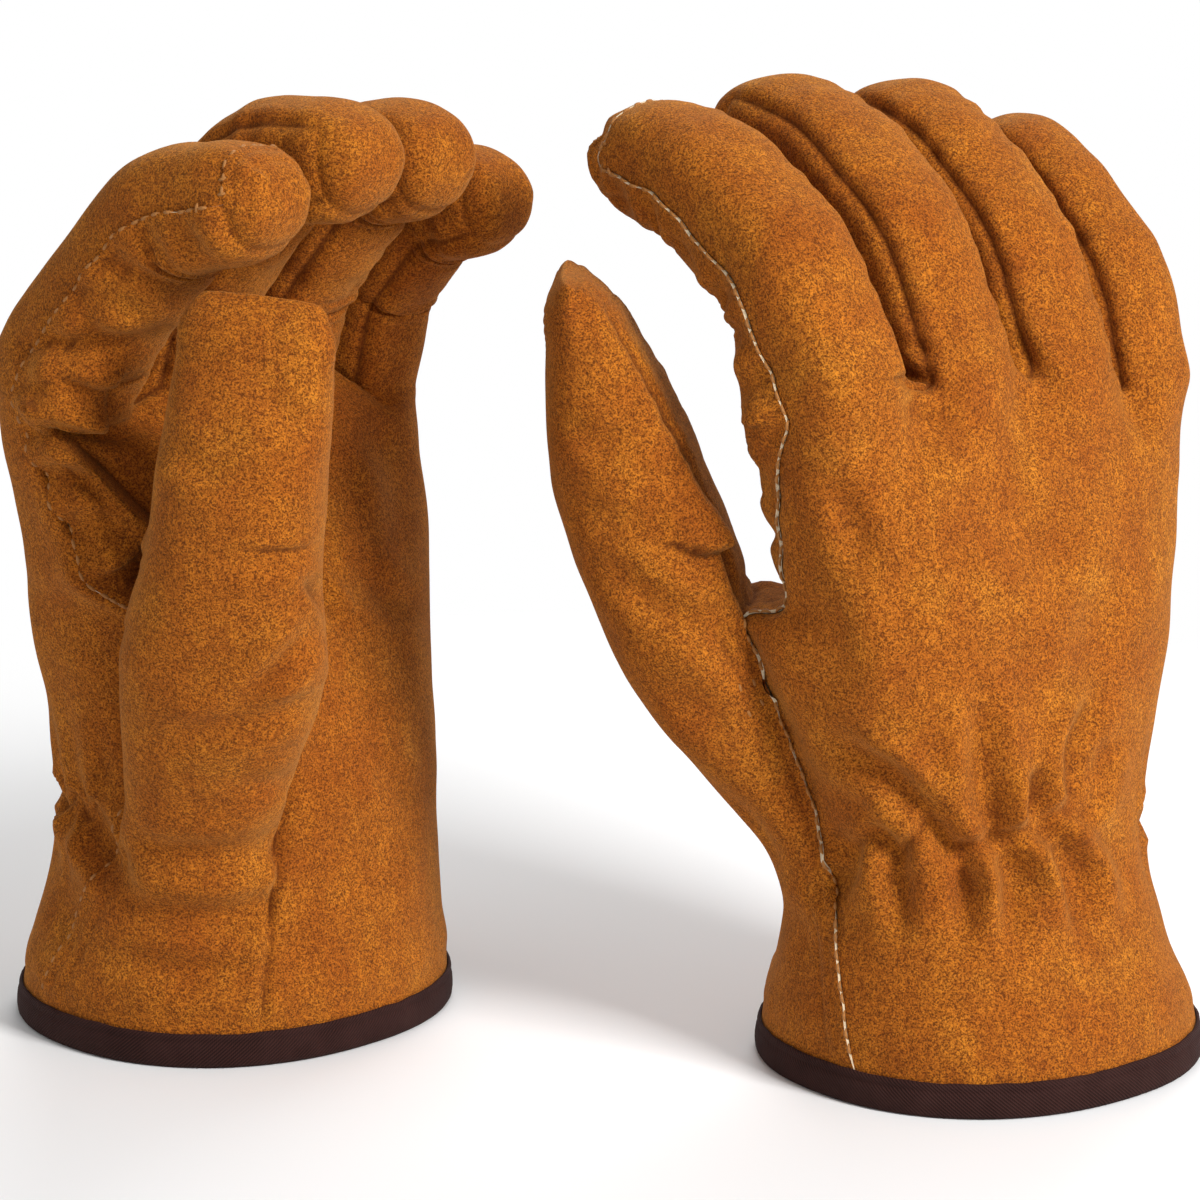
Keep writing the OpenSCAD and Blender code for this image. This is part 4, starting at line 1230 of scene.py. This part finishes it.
def skin_hollow(skin):
    """How far each point lies under the middle of its neighbours, in millimetres"""
    q = skin.quads
    n = len(skin.points)
    total, count = np.zeros((n, 3)), np.zeros(n)
    for k in range(4):
        for e in (1, 3):
            total += add_up(skin.points[q[:, (k + e) % 4]], q[:, k], n)
            count += np.bincount(q[:, k], minlength=n)
    middle = total / np.maximum(1, count)[:, None]
    return np.einsum("ij,ij->i", skin.points - middle, skin.normals)


def dress(obj, side, piece, shape):
    """Says what a leather piece replaces, and bakes a digit's piece in place through follow_joint"""
    if piece in HAND_PIECES:
        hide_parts(f"{side}_{piece}")
        return
    digit, half = piece.split("_")
    if half == "lower":
        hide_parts(f"{side}_{digit}_knuckle", f"{side}_{digit}_base")
    else:
        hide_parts(f"{side}_{digit}_bend", f"{side}_{digit}_tip")
    follow_joint(obj, side, digit, half, shape)


def follow_joint(obj, side, digit, half, shape):
    """Bakes a digit piece's transform into its mesh; the bodies and the span of its bend, at the digit's root or
    at its middle, are worked out but not used, so the piece does not bend
    """
    i = DIGITS.index(digit)
    cut = mid_fold_at(i) - mid_fold_l / 2
    if half == "lower":
        bodies, ends = (f"{side}_hand", f"{side}_{digit}_lower"), (1.0, root_fold_l)
    else:
        bodies, ends = (f"{side}_{digit}_lower", f"{side}_{digit}_end"), (cut + 1, cut + mid_fold_l)
    start, end = (place(side, shape.spine(i, l)) * MM for l in ends)
    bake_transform(obj)


for side in SIDES:
    make_glove(side)


# ---- floor, light and camera ----
world_strength = 0.42
floor_half = 3.0
white_from, white_to = 0.22, 0.42   # metres from the middle where the floor turns to the white round it


def seen_directly(tree):
    """1 for the camera's own rays, also by way of a mirror or glass, and 0 for the others"""
    rays = tree.nodes.new("ShaderNodeLightPath").outputs
    total = rays["Is Camera Ray"]
    for name in ("Is Glossy Ray", "Is Transmission Ray"):
        larger = tree.nodes.new("ShaderNodeMath")
        larger.operation = "MAXIMUM"
        tree.links.new(total, larger.inputs[0])
        tree.links.new(rays[name], larger.inputs[1])
        total = larger.outputs[0]
    return total


def floor():
    mesh = bpy.data.meshes.new("floor")
    s = floor_half
    mesh.from_pydata([(-s, -s, 0), (s, -s, 0), (s, s, 0), (-s, s, 0)], [], [(0, 1, 2, 3)])
    n = Nodes("floor_white")
    n.look(Base_Color=(0.86, 0.86, 0.86, 1), Roughness=0.9)
    far = n.add("ShaderNodeVectorMath", i0=n.place)
    far.operation = "LENGTH"
    share = n.math("MULTIPLY", n.grey(far.outputs["Value"], white_from, white_to), seen_directly(n.tree))
    white = n.add("ShaderNodeEmission", Color=(1, 1, 1, 1), Strength=1.0)
    mixed = n.tree.nodes.new("ShaderNodeMixShader")
    n.put(mixed.inputs[0], share)
    n.put(mixed.inputs[1], n.shader.outputs[0])
    n.put(mixed.inputs[2], white.outputs[0])
    n.tree.links.new(mixed.outputs[0], n.tree.nodes["Material Output"].inputs["Surface"])
    mesh.materials.append(n.material)
    add_object("floor", mesh)


def lamp(name, place_m, target_m, size, power):
    data = bpy.data.lights.new(name, "AREA")
    data.size = size
    data.energy = power
    obj = add_object(name, data)
    obj.location = place_m
    obj.rotation_euler = (Vector(target_m) - Vector(place_m)).to_track_quat("-Z", "Y").to_euler()


def world_light():
    world = bpy.data.worlds.new("studio")
    bpy.context.scene.world = world
    world.use_nodes = True
    tree = world.node_tree
    background = tree.nodes["Background"]
    background.inputs["Color"].default_value = (1, 1, 1, 1)
    strength = tree.nodes.new("ShaderNodeMapRange")
    tree.links.new(seen_directly(tree), strength.inputs["Value"])
    strength.inputs["To Min"].default_value = world_strength
    strength.inputs["To Max"].default_value = 1.0
    tree.links.new(strength.outputs[0], background.inputs["Strength"])


def camera():
    data = bpy.data.cameras.new("camera")
    data.sensor_width = 36.0
    data.lens = photo_lens / photo_px * data.sensor_width
    obj = add_object("camera", data)
    obj.location = tuple(camera_at * MM)
    obj.rotation_euler = (math.radians(90 - camera_pitch), 0, 0)
    bpy.context.scene.camera = obj


floor()
world_light()
camera()
lamp("key", (0.88, -0.8, 0.85), (0, 0, 0.1), 0.4, 22.5)
lamp("fill", (-1.0, -0.9, 0.7), (0, 0, 0.1), 0.9, 1.4)
lamp("back", (0.1, 0.9, 0.9), (0, 0, 0.1), 0.7, 7)

bpy.context.scene.view_settings.view_transform = "Standard"
